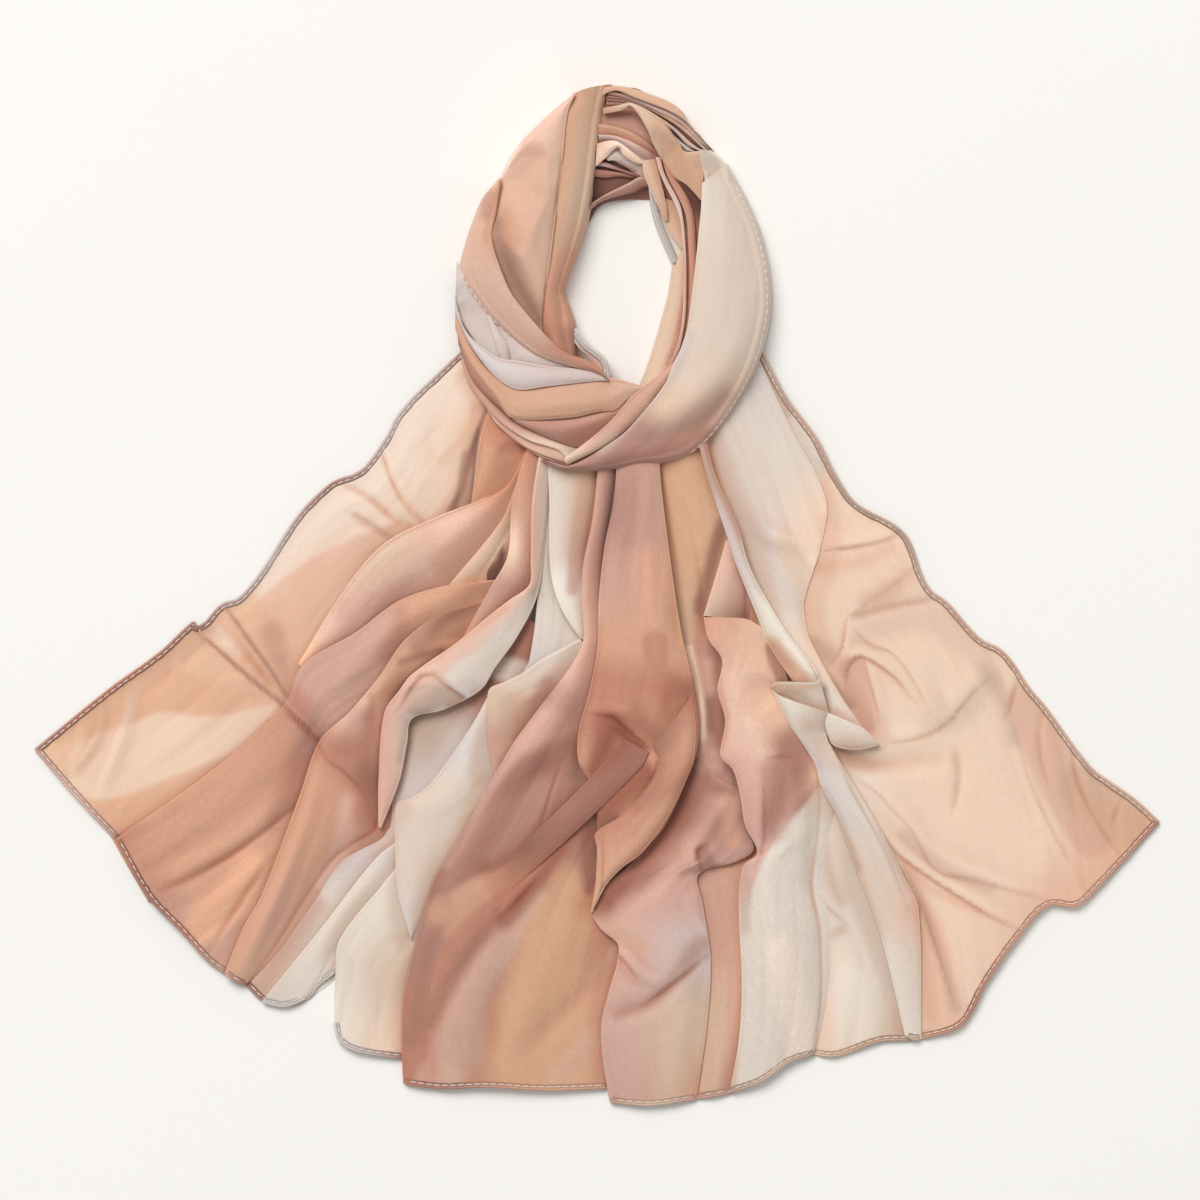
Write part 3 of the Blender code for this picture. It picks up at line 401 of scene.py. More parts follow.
        "neck_thin_a", 45, "lip lip", (17, 16, 15), (16, 16, 15), (1, 1, 1),
        "8,327 23,324 41,316 55,310 77,286",
        "7,325 23,321 54,306 66,295 77,286",
    ),
    Fold(
        "neck_thin_b", 44, "lip lip", (16, 15, 14), (15, 14, 14), (1, 1, 1),
        "7,325 23,322 55,305 75,286",
        "6,323 23,320 51,305 72,287",
    ),
    Fold(
        "neck_thin_c", 43, "lip lip", (14, 14, 13), (14, 13, 13), (1, 1, 1),
        "6,323 21,321 38,312 51,303 62,293 70,288",
        "6,321 21,319 49,302 59,292 67,288",
    ),
    Fold(
        "neck_thin_d", 42, "lip lip", (13, 13, 12), (12, 12, 12), (1, 1, 1),
        "6,321 20,320 34,313 54,295 64,288",
        "6,318 20,318 33,312 57,289",
    ),
    Fold(
        "band_top", 55, "lip wall", (24, 26, 25), (18, 18, 17), (2, 2, 1),
        "66,289 67,282 69,275 70,264",
        "76,288 85,279 89,270",
    ),
    Fold(
        "neck_pink_layer", 48, "lip tuck", (16, 16, 15), (14, 14, 14), (1, 1, 1),
        "1,299 12,298 23,294 41,284",
        "1,295 12,294 39,280",
    ),
    Fold(
        "neck_grey_a", 45, "lip lip", (13, 14, 14), (12, 13, 13), (1, 1, 1),
        "6,284 12,289 18,282 34,276",
        "7,282 12,282 19,278 34,271",
    ),
    Fold(
        "neck_grey_b", 43, "lip lip", (12, 12, 13), (11, 11, 12), (1, 1, 1),
        "-2,282 6,281 15,277 34,272",
        "-2,279 6,278 34,269",
    ),
    Fold(
        "neck_grey_c", 42, "lip lip", (11, 11, 12), (10, 10, 11), (1, 1, 1),
        "-3,277 24,273 32,271",
        "-3,272 6,271 15,272 32,269",
    ),
    Fold(
        "strand_tan_low", 50, "lip tuck", (12, 12, 12), (13, 13, 13), (1, 1, 1),
        "38,260 47,236 54,226",
        "46,257 55,236 57,225",
    ),
    Fold(
        "strand_pink", 54, "lip lip", (17, 18, 20), (17, 18, 20), (1, 1, 1),
        "38,284 41,273 53,247 55,231 56,192 53,166 46,149",
        "41,284 44,273 55,249 58,192 55,165 49,148",
    ),
    Fold(
        "strand_terra", 53, "lip lip", (17, 18, 21), (16, 18, 21), (1, 1, 1),
        "42,283 46,271 57,248 59,231 60,192 57,169 50,150",
        "44,279 57,261 62,249 64,231 64,192 60,171 53,153",
    ),
    Fold(
        "lilac_strip", 56, "lip lip", (17, 19, 21), (17, 19, 21), (1, 1, 1),
        "-72,183 -69,173 -62,152",
        "-68,180 -63,170 -58,162 -56,152",
    ),
    Fold(
        "wrap_cream_strip", 51, "tuck lip", (12, 16, 19), (13, 17, 19), (1, 1, 1),
        "-71,124 -63,115 -54,109 -24,97 -19,91",
        "-72,122 -64,110 -44,95 -16,84",
    ),
    Fold(
        "wrap_right_fold", 59, "lip hem", (22, 23, 22), (22, 23, 21), (1, 2, 1),
        "51,152 40,143 21,128 16,121 1,106 -21,89",
        "55,149 38,129 33,121 14,103 2,95 -20,84",
    ),
)  # fmt: skip

# Folds that lie on another fold's node.
NODE_OF = {
    "left_clay_panel": "left_brown_fold",
    "left_tan_strip": "left_brown_fold",
    "left_under_corner": "left_flap",
    "main_curl": "centre_main",
    "centre_roll": "centre_tail",
    "right_sheet": "right_cream_long",
    "neck_thin_a": "neck_thin_layers",
    "neck_thin_b": "neck_thin_layers",
    "neck_thin_c": "neck_thin_layers",
    "neck_thin_d": "neck_thin_layers",
    "band_top": "right_band",
    "neck_pink_layer": "neck_orange_layer",
    "neck_grey_a": "neck_grey_layer",
    "neck_grey_b": "neck_grey_layer",
    "neck_grey_c": "neck_grey_layer",
    "strand_tan_low": "inner_tan_strand",
    "strand_pink": "inner_rose_strand",
    "strand_terra": "inner_rose_strand",
    "lilac_strip": "lilac_upper",
    "wrap_cream_strip": "wrap_fold_last",
    "wrap_right_fold": "wrap_fold_lower",
}

SLOTS = {
    "chiffon_rose": (
        "centre_main centre_tail inner_rose_strand peach_step ring_core rose_strip short_rose_fold"
    ),
    "chiffon_tan": (
        "collar_fold inner_tan_strand left_drop_inner neck_orange_layer neck_outer_layer tan_strip "
        "wrap_fold_last wrap_fold_lower wrap_fold_middle wrap_fold_upper"
    ),
    "chiffon_cream": (
        "cream_fold cream_gore_left cream_gore_right cream_turn inner_hem_edge left_cream_panel "
        "left_cream_strip neck_grey_layer neck_thin_layers opening_flap right_band right_cream_layer "
        "right_cream_long right_cream_under right_leaf right_roll"
    ),
    "chiffon_terracotta": (
        "left_brown_fold left_outer_wrap left_wide_band neck_low_band neck_mauve_layer"
    ),
    "chiffon_peach": (
        "left_drop_outer left_flap left_peach_roll neck_peach_lobe peach_triangle right_flap"
    ),
    "chiffon_lilac": "left_lilac_under lilac_lower lilac_panel lilac_upper ridge_fold",
}
SLOT_OF = {node: slot for slot, nodes in SLOTS.items() for node in nodes.split()}

Crease = namedtuple("Crease", "path half_width height")
# The soft ridges of each fold, or troughs where height is negative.
CREASES = {
    "left_flap": (
        ("-229,-35 -216,-52 -205,-67", 3.9, -2),
        ("-96,127 -109,101 -105,75", 7.8, -1.6),
        ("-321,-72 -324,-91 -340,-115", 2.6, 1.6),
        ("-300,-58 -305,-82 -323,-130", 3.9, 1.8),
        ("-271,-35 -274,-56", 3.2, 1),
        ("-335,-82 -337,-100", 3.2, 1),
        ("-310,-141 -305,-133", 3.2, 1),
        ("-218,-9 -200,-35", 9.1, -1.5),
        ("-164,72 -148,63 -123,41", 3.2, -1.3),
        ("-73,114 -81,91 -86,72 -94,54", 3.9, -3),
        ("-161,54 -151,46 -133,35", 3.2, -1.4),
    ),
    "left_wide_band": (
        ("-203,-72 -192,-81 -180,-95", 2, 2.6),
        ("-289,-194 -265,-184 -232,-165 -190,-133", 2, -1.2),
        ("-291,-186 -265,-175 -232,-156 -193,-123", 5.9, 1.6),
        ("-291,-165 -252,-143 -200,-97", 9.1, 1),
        ("-265,-214 -232,-188 -206,-162", 6.5, 1.6),
        ("-252,-230 -226,-191 -213,-172", 2.6, -1.4),
        ("-102,-3 -141,-29 -174,-68", 7.8, 2),
    ),
    "left_brown_fold": (("-63,62 -109,30 -161,-9", 7.8, 1.6),),
    "left_peach_roll": (
        ("-144,-61 -146,-97", 5.2, -3),
        ("-164,-159 -187,-191", 5.9, -1),
        ("-179,-113 -193,-159 -229,-243", 5.2, 2.2),
    ),
    "centre_tail": (
        ("-24,-156 -50,-185 -83,-237 -109,-289", 6.5, -2),
        ("-24,-68 -57,-126 -89,-178", 9.1, 2.5),
        ("-63,-240 -70,-269 -63,-302", 9.1, -1.6),
        ("8,-243 -21,-269 -50,-295", 9.1, -1.8),
        ("-18,-198 -37,-250 -63,-315", 10.4, 1.6),
        ("-25,-113 -31,-130 -36,-149", 1.3, -1.2),
        ("-14,-104 -37,-115 -57,-133 -71,-158", 8.5, -3),
    ),
    "centre_main": (
        ("60,-68 60,-100 44,-133 21,-162 3,-191", 5.9, 2.4),
        ("23,75 20,23 21,-29", 5.9, -1.5),
        ("33,75 34,23 38,-29", 4.5, 1.2),
        ("49,-3 54,-35", 3.9, -1.5),
    ),
    "lilac_panel": (
        ("75,-126 60,-146 34,-185 5,-198", 8.5, -3),
        ("83,-133 70,-152 60,-165 64,-182", 5.2, 3),
        ("15,-229 28,-245 41,-253", 4.5, 2),
        ("5,-273 34,-263 67,-234", 6.5, -2.4),
        ("60,-263 49,-328", 6.5, 1.2),
        ("60,-123 41,-156 15,-186", 6.5, -3),
    ),
    "peach_step": (
        ("83,-39 77,-61 81,-81", 4.5, 2),
        ("112,-91 120,-126 109,-165", 8.5, -2.6),
        ("106,-126 107,-152", 3.9, 1.6),
        ("125,-108 140,-110", 5.2, 1.5),
        ("142,-133 137,-185 140,-201", 4.5, -1.6),
        ("119,-198 125,-263", 10.4, 1.8),
    ),
    "tan_strip": (
        ("67,23 68,-29 75,-68 76,-107", 4.5, -2.5),
        ("60,-29 66,-61 68,-100", 3.2, 2),
    ),
    "right_flap": (
        ("164,-17 184,-32 210,-61 218,-78", 5.9, 1.8),
        ("195,-26 209,-45 220,-78", 5.9, 1.8),
        ("158,-105 190,-108 229,-107", 7.8, -2.2),
        ("190,-136 220,-169 255,-185", 5.9, 1.6),
        ("187,-165 216,-211 229,-256", 9.1, -2),
        ("290,-78 294,-107 298,-133", 5.9, 1.4),
        ("309,-97 324,-146 337,-165", 6.5, 1.6),
        ("262,-61 275,-107 285,-152", 10.4, -1.4),
        ("290,-74 287,-91 289,-110 296,-130", 2, -1.4),
        ("309,-95 311,-117 322,-143 338,-167", 2, -1.8),
        ("233,-100 235,-120 231,-141", 2.6, -1.4),
        ("274,-50 270,-68 266,-81", 2, -1.2),
        ("340,-133 335,-149", 2, -1),
        ("164,-14 190,-7 218,-2", 4.5, -1.2),
    ),
    "right_cream_long": (
        ("119,-63 132,-81 146,-94", 4.5, 2),
        ("145,-113 164,-165 190,-237", 4.5, -1.6),
        ("149,-68 151,-97 171,-126 200,-198", 3.9, 1.6),
    ),
    "right_cream_under": (
        ("148,-152 164,-198 184,-250", 5.9, 1.8),
        ("145,-152 185,-237 198,-276", 5.9, 1.2),
        ("145,-126 148,-165 155,-195", 6.5, -1),
    ),
    "right_cream_layer": (("93,62 109,39 132,33", 5.2, 2),),
    "left_drop_outer": (
        ("-63,238 -55,205 -40,176", 5.2, -3),
        ("-37,303 -44,257 -47,212", 7.8, 1.5),
    ),
    "left_drop_inner": (("-23,199 -23,173 -19,158", 3.9, -2),),
    "left_outer_wrap": (
        ("-76,247 -71,225 -57,192 -34,163", 5.2, 1.8),
        ("-68,257 -70,231 -63,212", 3.9, -2.5),
    ),
    "right_band": (
        ("90,130 67,111 28,96", 7.8, -3),
        ("96,192 90,160 67,130 28,108", 9.1, 2.2),
        ("59,173 47,148 21,119 -5,97", 4.5, 2.2),
    ),
    "inner_rose_strand": (
        ("41,270 54,241 59,218 57,186 49,156", 2.3, -3),
        ("54,264 63,241 63,212", 2, -2.5),
        ("49,218 46,186 34,147", 3.2, 2),
    ),
    "wrap_fold_upper": (("-76,152 -57,130 -24,127 15,130", 5.9, 2),),
    "wrap_fold_middle": (("-63,117 -24,108 8,117", 5.2, 1.6),),
    "right_roll": (
        ("112,-29 122,-43 132,-54", 3.9, -2.5),
        ("109,-3 124,-25 140,-47", 3.9, 2),
    ),
    "main_curl": (("58,-81 58,-107 46,-136 7,-185", 5.2, 2),),
}  # fmt: skip

# Where the cloth folds over: it stands higher to the left of the path than to the right, and a painted
# shadow line darkens the cloth just to the right.
STEPS = {
    "centre_main": (
        ("2,-76 11,-78 37,-100", 6.5, 3.4),
        ("38,-102 40,-111 34,-123 18,-141", 5.2, 2),
    ),
    "centre_tail": (("-63,-208 -55,-200 -37,-180", 5.2, 1.6),),
    "lilac_panel": (
        ("67,-182 64,-165 70,-161", 4.5, 1.8),
        ("12,-230 20,-238 28,-249", 3.9, 1.6),
        ("31,-264 54,-247 70,-234", 6.5, 1.5),
    ),
    "peach_step": (
        ("104,-171 107,-159 107,-115", 5.2, 1.4),
        ("111,-104 125,-104 140,-110", 3.9, 1.2),
        ("90,-54 96,-39 97,-19", 3.9, 0.8),
    ),
    "left_peach_roll": (("-179,-97 -174,-106 -162,-115 -153,-125 -146,-138 -142,-151", 5.2, 1.2),),
    "ridge_fold": (
        ("-105,-51 -93,-60 -81,-69", 5.2, 2),
        ("-75,-63 -51,-26 -41,-7", 3.9, 1.5),
        ("-129,-73 -115,-52 -102,-50", 5.2, 1.5),
    ),
    "right_flap": (
        ("119,32 142,30 164,32 184,36 200,43", 7.8, 1.3),
        ("162,-16 176,-3 194,9 211,26", 3.9, 0.5),
        ("163,-15 159,-37 150,-48", 5.2, 1.6),
        ("164,-17 176,-30 192,-37 206,-55 218,-78", 5.2, 1),
        ("161,-68 161,-52 164,-43 172,-39 193,-52 203,-64", 5.2, 1.8),
        ("174,-41 184,-80 183,-95", 4.5, 1.4),
        ("184,-96 210,-91 228,-81 240,-66 255,-52", 7.8, 1.1),
        ("164,-115 183,-128 192,-138 205,-152 220,-177 246,-184 297,-198", 5.2, 1),
        ("184,-154 200,-171 252,-205 272,-215", 5.2, 1.8),
        ("233,-272 213,-210 199,-177", 5.9, 1),
        ("318,-193 296,-156 278,-115 266,-68", 5.2, 0.8),
    ),
    "main_curl": (("2,-201 3,-172 2,-156", 3.9, 1),),
    "right_cream_long": (
        ("200,-201 184,-162 164,-126 155,-102", 5.2, 1),
        ("194,-263 184,-237 179,-217 168,-195 162,-173", 4.5, 1.2),
    ),
    "left_flap": (
        ("-140,98 -133,76 -122,56 -112,45", 4.5, 1),
        ("-261,-22 -244,-36 -224,-54 -203,-71", 3.9, 1.6),
        ("-202,-66 -217,-43 -231,-24 -242,-7", 3.9, 1.8),
    ),
    "left_wide_band": (("-203,-72 -192,-82 -180,-95", 3.2, 1.6),),
    "right_cream_under": (("136,-193 149,-201 162,-212", 5.2, 0.8),),
}  # fmt: skip

# The print's dyes, as sRGB, and dark ones for painted shade; some print dyes also paint shade and
# highlights in the dabs.
DYES = {
    "ivory": "F1E7DB",
    "cream": "E0D4C8",
    "mist": "D5CCC9",
    "lilac": "D2C3C0",
    "petal": "FBE3D1",
    "peach": "F7D6BF",
    "apricot": "F3C5A4",
    "blush": "E4BCAA",
    "salmon": "DEA68C",
    "rose": "CBA090",
    "mauve": "B2877B",
    "brown": "A67566",
    "terra": "BE8570",
    "clay": "D29F86",
    "tan": "D3AB90",
    "sand": "DBBFA8",
    "amber": "D8A988",
    # This dye and the next are dark ones for painted shade.
    "shade": "8A6558",
    "hollow": "5F3E35",
    "nude": "E2BCA6",
    "fawn": "D4AF9C",
    "russet": "C8957D",
    "pink": "D9AB9B",
    "orchid": "D2A99D",
    "taupe": "BFA493",
    "glow": "FCDAC0",
    "coral": "EDB594",
    # A dark brown for painted shadow.
    "dusk": "9C6152",
    "bisque": "DDCABC",
}

# The print along each fold, with painted shade on some: a share of its length, the dye at the left
# edge there, and that at the right edge, where it is another.
BANDS = {
    "left_flap": (
        "0 petal apricot, 0.2 petal peach, 0.35 petal peach, 0.5 peach apricot, 0.58 apricot coral, "
        "0.66 coral, 0.8 coral, 1 apricot coral"
    ),
    "left_brown_fold": (
        "0 clay terra, 0.2 clay rose, 0.35 blush rose, 0.6 sand rose, 0.8 blush rose, 1 apricot rose"
    ),
    "left_under_corner": "0 tan, 1 clay",
    "left_clay_panel": "0 clay terra, 0.5 clay, 1 amber clay",
    "left_tan_strip": "0 rose brown, 0.4 tan, 0.7 blush sand, 1 sand tan",
    "left_wide_band": (
        "0 clay tan, 0.2 clay tan, 0.3 rose, 0.45 rose, 0.53 rose mauve, 0.58 russet terra, 0.75 "
        "clay, 0.9 clay, 1 terra rose"
    ),
    "left_peach_roll": (
        "0 clay, 0.15 tan clay, 0.3 tan clay, 0.42 blush clay, 0.5 terra brown, 0.56 clay terra, 0.7 "
        "clay, 0.85 clay rose, 1 clay tan"
    ),
    "left_lilac_under": (
        "0 terra brown, 0.2 brown, 0.33 taupe mist, 0.5 lilac mist, 0.65 lilac mist, 0.8 cream, 1 "
        "petal cream"
    ),
    "left_cream_strip": "0 mist cream, 0.3 cream, 1 cream ivory",
    "left_cream_panel": "0 mist cream, 0.3 cream, 0.6 cream sand, 1 ivory peach",
    "ridge_fold": (
        "0 cream mist, 0.2 blush cream, 0.3 blush cream, 0.4 blush cream, 0.5 blush cream, 0.62 blush "
        "mist, 0.75 pink cream, 1 pink blush"
    ),
    "short_rose_fold": "0 clay, 0.3 clay blush, 0.5 peach rose, 0.7 rose brown, 1 clay rose",
    "cream_fold": "0 cream, 0.25 mist cream, 0.4 bisque, 0.5 bisque, 0.7 bisque, 1 mist bisque",
    "cream_turn": "0 cream bisque, 0.4 bisque rose, 0.6 sand brown, 0.8 rose brown, 1 rose",
    "cream_gore_left": "0 mist, 0.5 cream mist, 0.8 cream, 1 mist cream",
    "cream_gore_right": "0 cream sand, 0.35 cream tan, 0.55 cream rose, 0.7 ivory cream, 1 cream",
    "centre_tail": (
        "0 rose mauve, 0.15 rose mauve, 0.3 blush rose, 0.45 rose mauve, 0.55 mauve brown, 0.65 brown "
        "terra, 0.8 mauve terra, 0.9 terra clay, 1 terra clay"
    ),
    "centre_main": (
        "0 rose, 0.15 mauve rose, 0.3 rose clay, 0.42 clay, 0.5 terra, 0.6 terra clay, 0.7 clay tan, "
        "0.85 clay tan, 1 tan sand"
    ),
    "tan_strip": "0 amber, 0.3 amber tan, 0.55 tan clay, 0.7 pink terra, 0.85 pink brown, 1 pink",
    "peach_triangle": "0 blush clay, 0.5 blush rose, 1 sand brown",
    "peach_step": (
        "0 salmon peach, 0.1 blush peach, 0.2 blush peach, 0.35 pink peach, 0.43 pink mauve, 0.48 "
        "orchid cream, 0.56 orchid cream, 0.7 cream, 1 sand cream"
    ),
    "lilac_panel": (
        "0 mauve rose, 0.15 brown mauve, 0.3 pink orchid, 0.45 pink orchid, 0.6 pink lilac, 0.8 "
        "orchid sand, 1 orchid clay"
    ),
    "rose_strip": "0 rose clay, 0.3 rose clay, 0.7 sand clay, 1 sand rose",
    "right_flap": (
        "0 cream sand, 0.2 sand cream, 0.35 peach glow, 0.5 peach glow, 0.6 petal glow, 0.7 peach "
        "glow, 0.85 glow peach, 1 peach coral"
    ),
    "right_cream_layer": (
        "0 bisque mist, 0.25 bisque cream, 0.45 mist peach, 0.6 bisque petal, 0.75 cream peach, 1 "
        "cream"
    ),
    "right_roll": (
        "0 rose mauve, 0.15 taupe rose, 0.3 lilac rose, 0.5 lilac cream, 0.7 cream ivory, 0.88 sand "
        "ivory, 1 fawn cream"
    ),
    "right_cream_long": (
        "0 cream, 0.3 mist cream, 0.5 bisque, 0.65 bisque blush, 0.8 cream bisque, 1 cream"
    ),
    # The sand on it is painted shade along its lower side.
    "right_leaf": "0 cream, 0.5 cream sand, 1 sand cream",
    "right_cream_under": (
        "0 taupe sand, 0.3 bisque cream, 0.5 bisque cream, 0.8 petal cream, 1 petal sand"
    ),
    "neck_outer_layer": "0 clay tan, 0.3 tan, 0.7 tan, 1 sand cream",
    # Painted shade: a dark layer that shows only in the gaps between the thin strands.
    "neck_thin_layers": "0 hollow, 0.5 shade hollow, 1 shade hollow",
    "neck_thin_a": "0 rose mauve, 0.3 blush mist, 0.6 lilac blush, 1 cream",
    "neck_thin_b": "0 brown rose, 0.3 lilac blush, 0.6 blush tan, 0.8 cream blush, 1 ivory cream",
    "neck_thin_c": "0 mauve rose, 0.4 tan sand, 0.7 lilac cream, 1 cream",
    "neck_thin_d": "0 mauve rose, 0.4 blush tan, 0.7 cream mist, 1 mist cream",
    "collar_fold": "0 rose tan, 0.2 sand, 0.5 tan sand, 0.8 tan, 1 sand tan",
    "band_top": "0 cream ivory, 1 bisque cream",
    "neck_mauve_layer": "0 brown rose, 0.5 mauve rose, 1 brown",
    "neck_orange_layer": "0 tan clay, 0.5 tan clay, 1 terra brown",
    "neck_pink_layer": "0 lilac mauve, 0.5 blush lilac, 1 brown rose",
    "neck_peach_lobe": "0 blush peach, 0.5 petal peach, 1 petal peach",
    # Painted shade: a dark layer that shows only in the gaps between the grey strands.
    "neck_grey_layer": "0 hollow, 0.5 hollow shade, 1 hollow shade",
    "neck_grey_a": "0 mist cream, 0.5 mist mauve, 1 lilac mist",
    "neck_grey_b": "0 mauve mist, 0.5 brown mauve, 1 mauve brown",
    "neck_grey_c": "0 brown, 0.5 mauve brown, 1 mauve",
    "neck_low_band": "0 mauve rose, 0.5 rose mauve, 1 rose brown",
    "inner_hem_edge": "0 brown tan, 0.3 mist sand, 0.6 cream, 1 cream ivory",
    "inner_tan_strand": "0 sand tan, 0.5 sand tan, 1 tan clay",
    "strand_tan_low": "0 sand tan, 0.5 sand tan, 1 sand clay",
    "strand_pink": "0 blush rose, 0.3 lilac blush, 0.5 rose blush, 0.7 blush rose, 1 rose",
    "strand_terra": "0 clay terra, 0.3 rose terra, 0.5 clay terra, 0.7 rose terra, 1 clay brown",
    # Its darkest start is painted shade in the gap beside the strands.
    "inner_rose_strand": (
        "0 brown hollow, 0.2 brown hollow, 0.3 rose brown, 0.4 sand terra, 0.6 sand terra, 0.8 sand "
        "clay, 1 sand"
    ),
    "left_drop_inner": "0 tan, 0.4 tan sand, 0.6 tan, 0.7 clay, 1 terra",
    "left_drop_outer": "0 nude, 0.3 nude, 0.5 nude fawn, 0.75 fawn nude, 1 fawn clay",
    "left_outer_wrap": "0 nude terra, 0.2 fawn clay, 0.4 fawn, 0.6 fawn, 0.8 fawn terra, 1 terra",
    "lilac_upper": "0 mist, 0.5 lilac mist, 1 lilac mist",
    "lilac_strip": "0 mist, 1 mist lilac",
    "lilac_lower": "0 lilac mist, 0.3 mist, 0.6 lilac, 0.85 mist lilac, 1 mist cream",
    "wrap_fold_upper": "0 fawn clay, 0.25 tan, 0.8 fawn tan, 1 fawn sand",
    "wrap_fold_middle": (
        "0 rose brown, 0.3 rose brown, 0.45 rose mauve, 0.7 rose brown, 0.85 rose terra, 1 tan sand"
    ),
    "wrap_fold_lower": "0 tan rose, 0.3 tan rose, 0.6 mauve blush, 0.85 rose petal, 1 rose sand",
    "wrap_cream_strip": "0 cream sand, 0.3 sand rose, 0.6 rose blush, 1 blush sand",
    "wrap_fold_last": "0 sand rose, 0.4 rose blush, 0.7 blush rose, 1 sand rose",
    "wrap_right_fold": "0 tan, 0.3 rose tan, 0.55 rose, 0.7 rose sand, 0.85 blush sand, 1 cream sand",
    "right_band": (
        "0 cream bisque, 0.25 bisque, 0.4 bisque, 0.52 bisque sand, 0.62 sand pink, 0.72 mauve rose, "
        "0.88 mauve, 1 mauve"
    ),
    "opening_flap": "0 mist, 0.6 cream rose, 1 cream rose",
    # The sand and taupe on it are painted shade inside the pocket fold.
    "right_sheet": "0 ivory, 0.15 sand, 0.6 taupe cream, 1 sand",
    "main_curl": (
        "0 brown terra, 0.15 terra clay, 0.35 terra, 0.5 terra clay, 0.75 clay, 0.9 clay tan, 1 tan "
        "rose"
    ),
    # Its darkest start is painted shade in the dip at its upper end.
    "centre_roll": "0 dusk brown, 0.45 brown, 0.75 brown terra, 1 terra clay",
}

Dab = namedtuple("Dab", "dye path start_half end_half soft strength")
